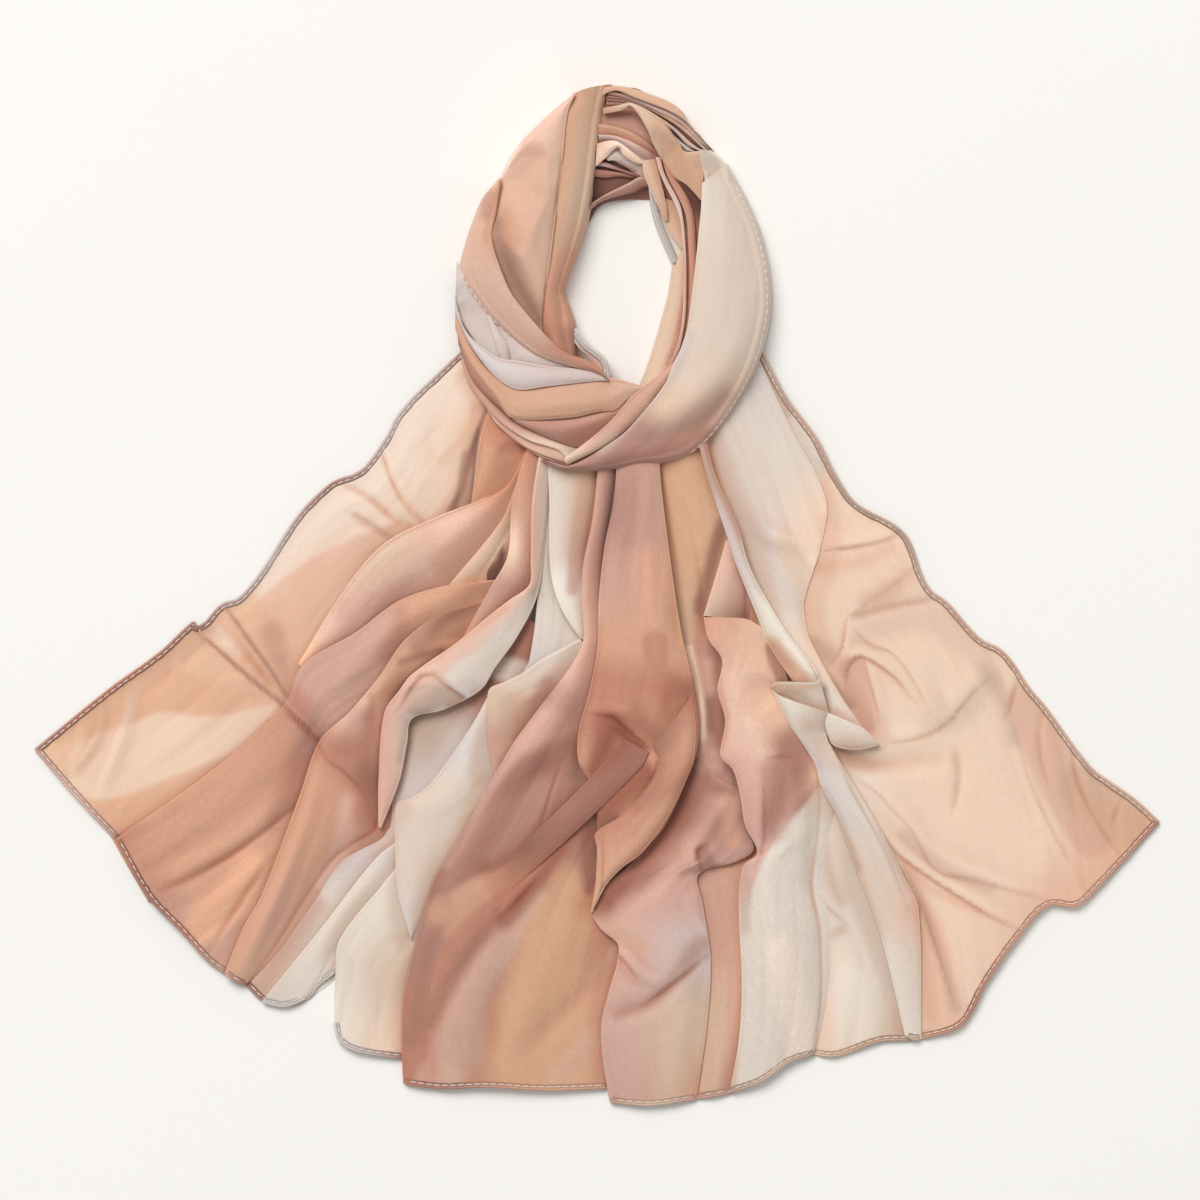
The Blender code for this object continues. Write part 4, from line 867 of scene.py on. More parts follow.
# Soft strokes of one dye across a fold: parts of the print, and painted shade and painted
# highlights on creases, dips and lit edges.
DABS = {
    # The thin dark strokes that follow its creases and steps are painted crease shade.
    "left_flap": (
        ("petal", "-92,145 -118,117 -131,88 -154,67 -187,46 -213,7", 17, 10, 5, 0.7),
        ("coral", "-218,-29 -187,5 -154,28 -125,43", 21, 6, 2, 0.65),
        ("apricot", "-255,-35 -232,-55", 20, 5, 4, 0.6),
        ("amber", "-321,-72 -326,-91 -341,-117", 3, 5, 3, 0.5),
        ("sand", "-300,-58 -306,-84 -323,-126", 3, 6, 4, 0.7),
        ("apricot", "-80,106 -85,75 -99,57", 8, 5, 4, 0.7),
        ("glow", "-323,-112 -278,-101", 21, 25, 3, 0.9),
        ("glow", "-278,-101 -242,-91 -211,-73", 25, 3, 3, 0.9),
        ("coral", "-139,90 -129,67 -111,45", 1, 2, 2, 0.8),
        ("coral", "-164,72 -148,63 -123,41", 1, 3, 3, 0.7),
        ("clay", "-157,53 -144,45 -133,36", 1, 2, 2, 0.8),
        ("dusk", "-72,120 -79,101 -88,67 -95,53", 1, 3, 2, 0.95),
        ("shade", "-77,108 -80,83 -82,60", 1, 2, 1, 0.9),
        ("russet", "-85,91 -86,76 -85,62", 3, 5, 2, 0.8),
        ("amber", "-320,-76 -326,-94 -337,-112", 4, 5, 5, 0.5),
        ("salmon", "-291,-50 -274,-39", 5, 5, 5, 0.5),
        ("petal", "-248,-24 -233,-37", 4, 2, 3, 0.7),
        ("terra", "-261,-22 -224,-54 -203,-71", 1, 2, 1, 0.8),
        ("terra", "-241,-9 -216,-43 -202,-65", 1, 2, 2, 0.8),
        ("coral", "-80,124 -83,108 -102,87", 1, 2, 3, 0.6),
        ("amber", "-349,-93 -281,-39 -255,-25", 3, 8, 6, 0.75),
        ("terra", "-211,-26 -205,-45 -201,-63", 8, 2, 5, 0.55),
        ("coral", "-318,-145 -284,-128 -232,-104", 9, 3, 3, 0.9),
    ),
    # The thin dark strokes on its troughs and step, and the brown ones by the pinch, are painted
    # shade.
    "left_wide_band": (
        ("russet", "-218,-113 -258,-141 -297,-173", 9, 16, 8, 0.7),
        ("rose", "-226,-185 -248,-227", 5, 8, 5, 0.7),
        ("terra", "-193,-134 -235,-165 -284,-191", 1, 3, 3, 0.6),
        ("clay", "-115,-9 -123,-29", 8, 5, 3, 0.6),
        ("terra", "-202,-73 -192,-82 -180,-95", 1, 2, 2, 0.8),
        ("brown", "-190,-97 -200,-123 -211,-149", 6, 4, 6, 0.5),
        ("dusk", "-202,-72 -191,-82 -180,-95", 1, 1, 1, 0.8),
        ("coral", "-224,-173 -240,-197 -255,-214", 8, 12, 6, 0.75),
        ("rose", "-83,0 -122,-24 -170,-82", 2, 5, 4, 0.6),
        ("brown", "-206,-63 -196,-68", 5, 5, 5, 0.4),
        ("terra", "-127,-11 -129,-24 -138,-39", 5, 5, 5, 0.6),
        ("terra", "-198,-61 -189,-72", 5, 5, 5, 0.6),
    ),
    # The dark strokes in its troughs and under the fold above are painted shade.
    "left_peach_roll": (
        ("terra", "-144,-68 -146,-91 -161,-104", 4, 9, 6, 0.7),
        ("terra", "-63,2 -96,-11 -122,-32 -136,-61", 4, 6, 4, 0.5),
        ("brown", "-153,-78 -164,-97", 6, 8, 5, 0.5),
        ("blush", "-162,-133 -168,-165 -179,-185", 4, 5, 5, 0.7),
        ("brown", "-146,-120 -145,-143", 5, 5, 5, 0.6),
        ("clay", "-193,-198 -209,-237 -220,-256", 6, 8, 5, 0.7),
        ("brown", "-83,-6 -102,-15 -116,-32", 5, 6, 5, 0.7),
        ("mauve", "-127,-11 -129,-19", 5, 5, 5, 0.5),
        ("dusk", "-127,-43 -115,-39 -101,-35", 2, 2, 3, 0.7),
        ("pink", "-159,-152 -167,-167 -177,-182", 4, 4, 4, 0.6),
    ),
    "cream_fold": (
        ("mist", "-109,-94 -96,-68", 14, 9, 6, 0.5),
        ("sand", "-76,-120 -92,-159 -112,-201", 4, 3, 3, 0.6),
        ("fawn", "-64,-56 -62,-71", 5, 5, 5, 0.6),
    ),
    # The brown stroke is painted shade in its middle.
    "cream_turn": (
        ("tan", "-50,-68 -47,-81 -60,-100", 5, 6, 5, 0.6),
        ("brown", "-32,-58 -50,-91", 5, 6, 4, 0.5),
    ),
    "cream_gore_right": (
        ("rose", "-6,49 -12,23 -16,4", 10, 4, 3, 0.8),
        ("tan", "-3,82 -7,49", 9, 9, 3, 0.7),
    ),
    "right_band": (
        ("lilac", "59,169 46,145 28,122 2,97", 4, 6, 3, 0.7),
        ("mauve", "83,130 60,106 28,91 -5,83", 5, 9, 8, 0.7),
        ("brown", "70,106 54,97 8,86", 4, 4, 5, 0.75),
    ),
    "left_drop_outer": (
        ("blush", "-18,322 -44,299 -60,273", 8, 6, 5, 0.8),
        ("petal", "-53,290 -61,273", 4, 3, 3, 0.5),
        ("shade", "-64,241 -58,217 -37,178", 6, 4, 6, 0.75),
        ("clay", "-59,248 -55,231", 5, 8, 5, 0.6),
    ),
    "left_drop_inner": (
        ("clay", "-18,217 -23,192 -20,160", 9, 10, 3, 0.75),
        ("brown", "-19,169 -16,153", 6, 6, 4, 0.6),
    ),
    # The brown stroke is painted shade in the groove beside the drop.
    "left_outer_wrap": (("brown", "-71,260 -72,247", 5, 4, 4, 0.5),),
    "inner_rose_strand": (
        ("sand", "47,210 41,173 31,140", 6, 8, 3, 0.8),
        ("brown", "59,192 55,166 49,152", 3, 4, 3, 0.5),
    ),
    "wrap_fold_lower": (("ivory", "-50,101 -31,93 -20,90", 3, 3, 2, 0.8),),
    # The two darkest strokes are painted shade beside the folds above.
    "left_lilac_under": (
        ("shade", "-102,-35 -128,-50 -133,-61", 6, 5, 4, 0.7),
        ("dusk", "-53,-21 -60,-35 -66,-43", 8, 5, 3, 0.5),
        ("cream", "-63,-47 -50,-50", 8, 8, 3, 0.7),
        ("sand", "-141,-133 -138,-165", 8, 9, 5, 0.6),
        ("taupe", "-120,-82 -125,-107 -129,-126", 3, 3, 2, 0.7),
        ("taupe", "-105,-87 -110,-100", 5, 4, 5, 0.4),
        ("rose", "-181,-201 -209,-240 -220,-255", 5, 6, 5, 0.8),
    ),
    # The first taupe stroke is painted shade on the triangle folded under.
    "ridge_fold": (
        ("cream", "-92,-50 -73,-42 -58,-26", 6, 8, 3, 0.9),
        ("taupe", "-116,-68 -102,-65 -92,-69", 10, 5, 2, 0.85),
        ("pink", "-129,-68 -133,-107 -137,-143", 8, 5, 4, 0.6),
        ("taupe", "-123,-82 -128,-107", 2, 2, 2, 0.6),
        ("salmon", "-102,-37 -83,-25 -60,-8", 2, 3, 2, 0.6),
        ("blush", "-63,5 -102,-52 -125,-71", 3, 3, 3, 0.4),
    ),
    # The brown, shade and darkest strokes are painted shade in its valleys, beside the curl and under
    # the roll.
    "centre_tail": (
        ("brown", "-11,-102 -34,-110 -55,-126 -81,-172", 13, 8, 5, 0.9),
        ("shade", "-12,-97 -14,-117", 3, 3, 4, 0.7),
        ("orchid", "-24,-61 -70,-126 -84,-154 -98,-176", 3, 3, 3, 0.7),
        ("pink", "-14,-42 -31,-68 -47,-91", 10, 9, 5, 0.5),
        ("mauve", "-37,-126 -50,-152 -63,-169", 9, 8, 5, 0.6),
        ("terra", "-24,-123 -34,-138", 5, 4, 4, 0.5),
        ("dusk", "-27,-117 -31,-131 -36,-147", 1, 1, 1, 0.45),
        ("brown", "-109,-191 -99,-180", 5, 4, 3, 0.6),
        ("clay", "-37,-171 -66,-190 -96,-208", 8, 14, 4, 0.8),
        ("fawn", "-37,-198 -89,-269 -96,-315", 6, 10, 5, 0.8),
        ("taupe", "-57,-227 -76,-263 -83,-302", 6, 8, 5, 0.45),
        ("pink", "-110,-295 -112,-315", 3, 6, 3, 0.6),
        ("amber", "-14,-191 -31,-237 -37,-308", 17, 32, 8, 0.85),
        ("shade", "-1,-151 -3,-172 -2,-188", 6, 2, 3, 0.85),
        ("clay", "10,-234 -14,-263 -50,-295", 6, 5, 5, 0.7),
        ("fawn", "-5,-289 -24,-312", 6, 8, 5, 0.5),
        ("mauve", "-34,-61 -14,-72", 9, 8, 6, 0.5),
        ("mauve", "-14,-159 -6,-185", 6, 6, 5, 0.6),
        ("terra", "-50,-191 -83,-217 -105,-253 -118,-295", 6, 10, 3, 0.9),
        ("brown", "-96,-201 -112,-237 -120,-289", 5, 5, 5, 0.7),
        ("rose", "-60,-221 -83,-253 -96,-289", 8, 13, 5, 0.6),
        ("clay", "-63,-181 -83,-191 -101,-208", 4, 6, 3, 0.7),
        ("brown", "-63,-214 -88,-237 -109,-276", 3, 5, 5, 0.5),
        ("mauve", "-63,-133 -83,-159 -97,-185", 5, 6, 5, 0.6),
        ("dusk", "-16,-154 -45,-193 -60,-210", 4, 6, 5, 0.8),
        ("brown", "-34,-50 -37,-63 -53,-80", 6, 6, 6, 0.7),
        ("dusk", "-6,-154 -7,-173 -5,-191", 5, 3, 4, 0.8),
    ),
    # The darkest strokes and the shade and brown ones are painted shade in the dip under the hood and
    # beside the curl.
    "centre_main": (
        ("amber", "44,75 49,23 54,-29", 3, 3, 2, 0.7),
        ("mauve", "21,75 20,36", 6, 5, 5, 0.4),
        ("salmon", "34,23 34,-16", 9, 8, 6, 0.6),
        ("terra", "38,-32 41,-55 46,-78", 9, 2, 3, 0.7),
        ("dusk", "10,-82 20,-91 28,-99", 5, 3, 3, 0.8),
        ("dusk", "29,-115 18,-126 2,-143", 8, 6, 4, 0.9),
        ("shade", "12,-145 2,-151 -8,-158", 3, 3, 3, 0.8),
        ("brown", "28,-76 33,-87", 6, 5, 5, 0.5),
        ("blush", "-7,4 -5,-11", 8, 8, 5, 0.7),
        ("dusk", "6,-82 3,-97 -3,-113", 8, 5, 5, 0.8),
    ),
    # The first brown stroke is painted shade in the dip beside the roll.
    "peach_step": (
        ("clay", "78,-45 79,-61 83,-78 81,-97", 3, 3, 2, 0.7),
        ("orchid", "101,-126 101,-162", 5, 5, 2, 0.8),
        ("pink", "132,-108 131,-123", 8, 5, 3, 0.8),
        ("cream", "148,-133 118,-180 109,-237 112,-315", 9, 21, 2, 1),
        ("brown", "114,-35 119,-50 124,-56", 5, 5, 2, 0.8),
        ("taupe", "98,-185 96,-217", 3, 3, 3, 0.5),
        ("petal", "119,-230 132,-289", 10, 9, 6, 0.5),
        ("peach", "98,-29 101,-45", 6, 8, 5, 0.7),
        ("peach", "101,-22 101,-55 105,-78", 5, 9, 4, 0.7),
        ("mauve", "127,-99 123,-123 114,-152", 14, 6, 8, 0.9),
        ("brown", "123,-102 120,-126", 5, 5, 6, 0.4),
        ("brown", "111,-113 112,-143", 6, 5, 6, 0.5),
        ("clay", "81,-13 83,-42", 9, 6, 6, 0.5),
    ),
    # The first brown stroke and the darkest one are painted shadow beside the curl.
    "lilac_panel": (
        ("brown", "64,-117 31,-165 1,-203", 9, 5, 4, 0.95),
        ("fawn", "67,-113 60,-126", 5, 4, 3, 0.5),
        ("pink", "77,-133 60,-165 44,-191", 8, 10, 6, 0.35),
        ("salmon", "85,-133 88,-159", 6, 6, 4, 0.6),
        ("brown", "69,-167 75,-174", 5, 3, 3, 0.6),
        ("tan", "2,-201 10,-217 28,-227", 4, 5, 3, 0.6),
        ("taupe", "60,-230 62,-263 54,-295", 8, 6, 5, 0.5),
        ("mauve", "67,-227 38,-262 14,-273", 6, 3, 4, 0.6),
        ("sand", "60,-269 49,-302 47,-328", 8, 12, 6, 0.5),
        ("dusk", "64,-119 55,-138 32,-175 6,-199", 9, 8, 8, 0.8),
        ("brown", "67,-121 79,-126 89,-126", 4, 4, 4, 0.7),
    ),
    # The shade stroke and the brown one are painted shade in its valley.
    "tan_strip": (
        ("shade", "81,46 73,17 67,-9", 4, 4, 3, 0.7),
        ("brown", "67,-3 75,-35 76,-94", 4, 6, 3, 0.8),
        ("glow", "59,-35 66,-68 67,-91", 3, 3, 2, 0.8),
        ("orchid", "71,-94 76,-117", 5, 5, 3, 0.6),
        ("clay", "96,4 99,-11", 6, 5, 3, 0.8),
        ("blush", "69,-45 71,-61", 5, 5, 4, 0.7),
        ("peach", "64,-61 67,-91", 4, 4, 3, 0.6),
    ),
    "right_flap": (
        ("mist", "80,88 96,49 125,23", 20, 17, 9, 0.7),
        ("ivory", "131,108 144,49 142,33", 9, 6, 2, 0.8),
        ("glow", "164,69 164,43", 20, 17, 2, 0.85),
        ("glow", "158,-3 177,10 207,23", 8, 5, 4, 0.8),
        ("tan", "140,-32 151,-39", 6, 6, 4, 0.6),
        ("pink", "174,-3 194,7", 5, 5, 3, 0.5),
        ("pink", "177,-22 216,-13 249,-35", 10, 12, 8, 0.35),
        ("salmon", "166,-48 172,-68 175,-84", 9, 6, 3, 0.7),
        ("glow", "197,-68 216,-68", 12, 9, 8, 0.6),
        ("sand", "216,-86 236,-76 255,-55", 8, 8, 6, 0.6),
        ("clay", "153,-99 166,-108 203,-113", 6, 3, 4, 0.8),
        ("glow", "216,-113 262,-159", 26, 32, 10, 0.8),
        ("pink", "200,-156 220,-173 255,-189", 5, 4, 3, 0.6),
        ("salmon", "281,-68 302,-123 322,-156", 14, 14, 3, 0.65),
        ("amber", "317,-126 346,-152", 17, 13, 5, 0.7),
        ("brown", "145,-50 164,-71", 4, 4, 3, 0.6),
        ("rose", "166,-13 184,-9 218,-2", 2, 1, 3, 0.6),
        ("peach", "190,-120 229,-165 268,-185", 10, 8, 6, 0.5),
        ("coral", "146,18 171,22 190,30", 5, 3, 5, 0.5),
        ("sand", "233,-107 233,-136", 3, 1, 4, 0.5),
        ("coral", "200,-185 216,-217 226,-269", 6, 13, 4, 0.6),
        ("tan", "199,-180 215,-211 233,-268", 3, 4, 2, 0.7),
        ("coral", "198,-173 216,-190 249,-206", 3, 2, 3, 0.6),
        ("coral", "200,13 184,-3", 6, 6, 6, 0.5),
        ("fawn", "252,-47 264,-68 270,-94", 5, 4, 5, 0.7),
    ),
    # The taupe stroke is painted shade inside the pocket fold.
    "right_cream_layer": (
        ("mist", "80,82 106,23 132,-9", 14, 9, 9, 0.6),
        ("sand", "122,33 132,10 141,-26", 8, 6, 5, 0.6),
        ("petal", "151,17 145,-9 151,-29", 12, 8, 4, 0.6),
        ("fawn", "155,-76 164,-82 176,-91", 3, 5, 3, 0.85),
        ("taupe", "148,-61 150,-76", 2, 3, 2, 0.7),
        ("bisque", "80,88 96,43 119,-3", 10, 8, 6, 0.6),
    ),
    # The tan stroke is painted shade in its inner dip, and the ivory one a painted highlight on its
    # lit edge.
    "right_roll": (
        ("tan", "114,-32 122,-43 131,-54", 5, 6, 3, 0.85),
        ("ivory", "111,-6 124,-25 140,-48", 3, 3, 2, 0.7),
    ),
    # The taupe stroke is painted shade along its trough.
    "right_cream_long": (
        ("sand", "164,-165 184,-217", 6, 5, 4, 0.6),
        ("taupe", "145,-126 158,-152 168,-177", 3, 4, 3, 0.6),
    ),
    # The first and third taupe strokes are painted shade below and beside the pocket fold.
    "right_cream_under": (
        ("taupe", "140,-219 150,-221 159,-217", 3, 3, 3, 0.5),
        ("ivory", "164,-250 170,-282", 10, 13, 8, 0.6),
        ("taupe", "148,-159 151,-178 159,-198", 3, 5, 5, 0.5),
        ("cream", "145,-217 146,-247", 6, 8, 5, 0.7),
        ("sand", "129,-253 132,-276", 5, 5, 5, 0.5),
        ("taupe", "105,-178 106,-217", 6, 6, 6, 0.4),
    ),
    # The brown stroke is painted shade in the dip inside the curl.
    "main_curl": (
        ("brown", "42,-110 38,-123 25,-138", 3, 3, 3, 0.7),
        ("terra", "1,-154 10,-150 18,-146", 3, 3, 3, 0.6),
    ),
    # The darkest stroke is painted shade in a deep fold.
    "left_brown_fold": (
        ("rose", "-109,36 -138,13 -161,-9", 6, 9, 6, 0.5),
        ("hollow", "-63,34 -62,23 -69,11", 1, 6, 3, 0.85),
    ),
    "wrap_fold_middle": (("brown", "-18,103 2,108 14,115", 5, 4, 4, 0.7),),
}  # fmt: skip

# How much the cloth hides, at the neck, half way and at the hem. Other folds hide all.
SHEERNESS = (
    ("left_flap", (.78, .72, .8)),
    ("right_flap", (.9, .74, .74)),
    ("left_cream_strip left_cream_panel left_lilac_under right_cream_under", (1, 1, .82)),
    ("rose_strip peach_step lilac_panel centre_tail", (1, 1, .93)),
    ("centre_roll", (1, 1, 0)),
)

Hem = namedtuple("Hem", "name fold edge first last dyes")
# The rolled hem: the part of a fold's edge that it lies on, and its dyes along it. Without dyes,
# only its stitches show.
HEMS = (
    Hem("left_side", "left_flap", "left", 0, 0.655, "mauve lilac mauve lilac mauve"),
    Hem("left_corner", "left_flap", "left", 0.655, 1, "mauve terra terra mauve"),
    Hem("left_end", "left_flap", "end", 0, 1, "rose blush rose"),
    Hem("under_corner", "left_under_corner", "left", 0, 1, "tan clay"),
    Hem("band_end", "left_wide_band", "end", 0, 1, "terra brown terra rose"),
    Hem("roll_end", "left_peach_roll", "end", 0, 1, "clay mauve"),
    Hem("under_end", "left_lilac_under", "end", 0, 1, "brown mist"),
    Hem("cream_strip_end", "left_cream_strip", "end", 0, 1, "mist mist"),
    Hem("cream_panel_end", "left_cream_panel", "end", 0, 1, "mist lilac mauve"),
    Hem("centre_end", "centre_tail", "end", 0, 1, "terra mauve clay amber clay"),
    Hem("panel_end", "lilac_panel", "end", 0, 1, "rose sand rose"),
    Hem("rose_end", "rose_strip", "end", 0, 1, "rose rose"),
    Hem("step_end", "peach_step", "end", 0, 1, "taupe sand taupe"),
    Hem("cream_under_end", "right_cream_under", "end", 0, 1, "sand tan taupe"),
    Hem("cream_long_end", "right_cream_long", "end", 0, 1, "taupe sand"),
    Hem("right_end", "right_flap", "end", 0, 1, "clay terra clay salmon clay terra"),
    Hem("right_side", "right_flap", "right", 0, 1, "taupe fawn taupe fawn tan fawn tan"),
    Hem("wrap_hem", "left_outer_wrap", "left", 0.34, 0.94, ""),
    Hem("band_hem", "right_band", "right", 0.04, 0.68, ""),
    Hem("opening_hem", "opening_flap", "left", 0, 1, "mist mist"),
    Hem("inner_hem", "inner_hem_edge", "left", 0, 1, "mist mist"),
)
HEMMED = {hem.fold for hem in HEMS if hem.edge == "end"}

PATH_STEPS = 12  # samples between two points of a path
PATH_SAMPLES = 41
NARROWEST = 1.5  # the least plan width that a cross section is laid out for
LOWEST = 0.6  # the least height of the cloth over the surface
STATIONS = (8, 400)  # the fewest and the most cross sections of a fold
COLUMNS = (3, 160)  # the same for the columns of points across its upper face
ARCH_POWER = 0.8  # how full the arch between two edges is
SIDE_SHARE = 0.3  # the most of a fold's width that a rolled or rounded side takes
ROLL_WIDTH = 1.3  # half axes of a folded edge's roll
ROLL_DEPTH = 0.9
ROLL_STEPS = 9
ROLL_FULL = 8  # a narrower fold has a flatter roll
UNDER_RUN = 9.0  # how far a folded edge runs back underneath, and how much it drops there
UNDER_DROP = 5.0
UNDER_SHARE = 0.35  # the most of a fold's width that it runs back
UNDER_PLACES = (1.0, 0.66, 0.33)  # the columns there, as shares of the run
WALL_REACH = 8.0  # half axis of the round shoulder where a fold falls to the surface
WALL_STEPS = 15
EASED_COLUMNS = 4  # beside such a shoulder, over which the troughs' shade fades
SHOULDER_COLUMNS = 6  # how far down such a shoulder a hem lies
WALL_GROOVE = 1.2  # the groove between two turns of cloth, part way up such a shoulder
WALL_GROOVE_PLACE = 0.55
WALL_GROOVE_WIDTH = 0.14
TUCK_RUN = 12.0  # how far a fold runs on below its neighbour, and how much it drops there
TUCK_DROP = 4.0
TUCK_PLACES = (1.0, 0.8, 0.6, 0.4, 0.2, 0.0)
HEM_SPREAD = 12  # a power of the place along a hemmed fold: its tucks end only close to the hem
CREASE_END = 0.03  # share of a crease over which its height stays even at its ends
# The slight waves of thin cloth: wave length across, drift and height.
RIPPLES = ((23.0, 9.0, 0.3), (11.0, 5.0, 0.12), (6.1, 3.5, 0.05))
RIPPLE_PHASE = 0.37  # how the waves shift from fold to fold, and more from one wave to the next
RIPPLE_SHIFT = 0.21
RIPPLE_BENDS = (2.1, 5.3)  # how often the slow and the quick drift turn along a fold, in radians
RIPPLE_SWELL = (0.6, 0.4, 31, 47)  # their mean, how far they swell, and over what x and y
RIPPLE_WIDTH = 30  # a narrower fold has lower waves

COVER_STEP = 1.0  # squares that the undersides are kept in, and how far they go past the scarf
COVER_MARGIN = 30.0
COVER_SAMPLES = 4  # along each side of a face
WITHIN = 1.001  # from the last square, so that a position always has one after it
COVER_REACH = 14.0  # how far from a covering edge the cloth starts to dip, and how steeply
COVER_SLOPE = 0.45
CLEAR_SKY = 900.0  # the cover's height where nothing lies above
LAYER_GAP = 2.0  # from a cloth's upper face to the most that one below it may rise to
SOFT_BLEND = 2.5  # the height over which two surfaces blend where they meet

SUPPORT = "floor"  # what the scarf rests on
UP = np.array([0.0, 0.0, 1.0])

# The painted shade of troughs: how far around it looks, what depth counts as full, its share.
TROUGHS = ((5.0, 1.5, 0.75), (1.8, 0.5, 0.4))
# Painted highlight: the highest ridges get a negative shade, so they are painted lighter.
LIGHTEST = -0.6  # the shade of the highest ridges
DARKEST = 1.2
EASED_SHADE = 0.75  # the share of the shade that is left where the eased columns end
STEP_WIDTH = 1.2  # how sharply a step falls
# Below each step a painted shadow line darkens the cloth.
STEP_GROOVE = 1.3  # the dark line below a step: its half width, and how much it shades
STEP_SHADE = 0.75
STEP_FULL = 2.0  # the height from which a step's line is at its darkest
# Cloth close under a neighbour is painted darker, as painted shade under its edge.
TUCKED_DEPTH = 5.0  # cloth nearer than this under a neighbour looks deeper
TUCKED_SHADE = 0.5
RING_TUCKED_SHADE = 0.3
SHADE_DEPTH = (0.22, 0.42, 0.52)  # the share of red, green and blue that full shade takes

HEM_SPACING = 1.5  # between a hem's cross sections
HEM_OVERHANG = 0.6  # how far the hem lies outside the cloth's line
HEM_HEIGHT = 1.1
HEM_SWELL = 0.05  # how much its width varies, over what length, and how often along the hem
HEM_SWELL_LENGTH = 7.3
HEM_SWELL_TURNS = 91.0
HEM_KNOTS = 60  # the most points of the cloth's edge that a hem's path goes through
HEM_STEEPEST = 0.9  # the steepest slope of the cloth that a hem follows
# Across the hem, from the outer edge in: share of its width, of its height, and its painted
# shade, a factor on its colour that is darker in the grooves and lighter on the crown.
HEM_PROFILE = (
    (0.0, 0.25, 0.8), (0.1, 0.8, 0.95), (0.26, 1.0, 1.05), (0.4, 0.8, 0.55), (0.52, 0.4, 0.8),
    (0.68, 0.35, 0.8), (0.84, 0.45, 0.5), (1.0, 0.15, 0.8), (0.7, -0.3, 0.7), (0.2, -0.3, 0.7),
)  # fmt: skip
STITCH_PLACE = 0.6  # across the hem and up, as shares of its width and its height
STITCH_RISE = 0.5
STITCH_SIDES = 5
# Along a stitch: share of its half length, of its thickness, and its rise.
STITCH_SECTIONS = (
    (-1.0, 0.35, -0.25), (-0.7, 0.9, 0.05), (0.0, 1.0, 0.15), (0.7, 0.9, 0.05), (1.0, 0.35, -0.25),
)  # fmt: skip
THREAD_RADIUS = 0.4

# The ring's hidden roll: its sections, the points and the height of each, and its fullness.
CORE_STATIONS = 96
CORE_SIDES = 11
CORE_HEIGHT = 6.0
CORE_FULLNESS = 0.6
CORE_WAVE = (0.25, 3.0, 0.11)  # the height of its waves, their turns across it and around it

# The folds of each stretch, by how their names start.
LEFT_TAIL = (
    "left_flap", "left_under", "left_lilac", "left_brown", "left_cream", "left_wide", "left_peach",
    "left_clay", "left_tan",
)  # fmt: skip
MIDDLE = (
    "cream_", "short_rose", "ridge", "centre", "rose_strip", "tan_strip", "lilac_panel", "peach_",
    "main_curl",
)  # fmt: skip
RIGHT_TAIL = ("right_cream", "right_roll", "right_leaf", "right_flap", "right_sheet")
FRONT_LOOP = (
    "left_outer", "lilac_upper", "lilac_lower", "lilac_strip", "wrap_", "right_band", "band_",
)  # fmt: skip
INNER_STRANDS = ("left_drop", "inner_", "opening_", "strand_")
NECK_LAYERS = ("collar", "neck_")

# The stage, in metres.
FLOOR_SIZE = 8.0
FLOOR_TONE = 0.985  # how much darker the surface is in places
KEY_PLACE = (-4.0, 7.2, 9.5)
KEY_SIZE = 8.0
KEY_COLOUR = (1.0, 0.985, 0.96)
FILL_COLOUR = (1.0, 0.99, 0.97)
VIEW_WIDTH = 0.78  # of the surface that the camera sees, and the middle of it
VIEW_CENTRE = (0.00195, -0.0029)


# ---------------------------------------------------------------- curves and heights


def spots(text):
    """The x,y pairs of a table's path."""
    return [tuple(float(part) for part in pair.split(",")) for pair in text.split()]


def smooth_path(points, count):
    """count points, evenly spaced along a Catmull-Rom curve through the given ones."""
    knots = np.array(points, float)
    knots = np.vstack([2 * knots[0] - knots[1], knots, 2 * knots[-1] - knots[-2]])
    steps = np.linspace(0, 1, PATH_STEPS, endpoint=False)[:, None]
    fine = []
    for p0, p1, p2, p3 in zip(knots, knots[1:], knots[2:], knots[3:]):
        reach = np.linalg.norm(p2 - p1)
        slope_1 = (p2 - p0) * reach / max(np.linalg.norm(p1 - p0) + reach, 1e-6)
        slope_2 = (p3 - p1) * reach / max(np.linalg.norm(p3 - p2) + reach, 1e-6)
        a = 2 * steps**3 - 3 * steps**2 + 1
        b = steps**3 - 2 * steps**2 + steps
        c = -2 * steps**3 + 3 * steps**2
        d = steps**3 - steps**2
        fine.append(a * p1 + b * slope_1 + c * p2 + d * slope_2)
    fine.append(knots[-2][None])
    fine = np.vstack(fine)
    along = np.concatenate([[0], np.cumsum(np.linalg.norm(np.diff(fine, axis=0), axis=1))])
    wanted = np.linspace(0, along[-1], count)
    return np.stack([np.interp(wanted, along, fine[:, k]) for k in range(fine.shape[1])], axis=1)


def path_length(points):
    """The length of the straight lines from point to point."""
    return float(np.linalg.norm(np.diff(np.array(points, float), axis=0), axis=1).sum())


def three_way(values, t):
    """The value at t of a smooth curve through those at 0, one half and 1."""
    first, middle, last = values
    return first * (1 - t) * (1 - 2 * t) + 4 * middle * t * (1 - t) + last * t * (2 * t - 1)


def ease(x):
    """0 below 0, 1 above 1, and smooth between."""
    x = np.clip(x, 0, 1)
    return x * x * (3 - 2 * x)


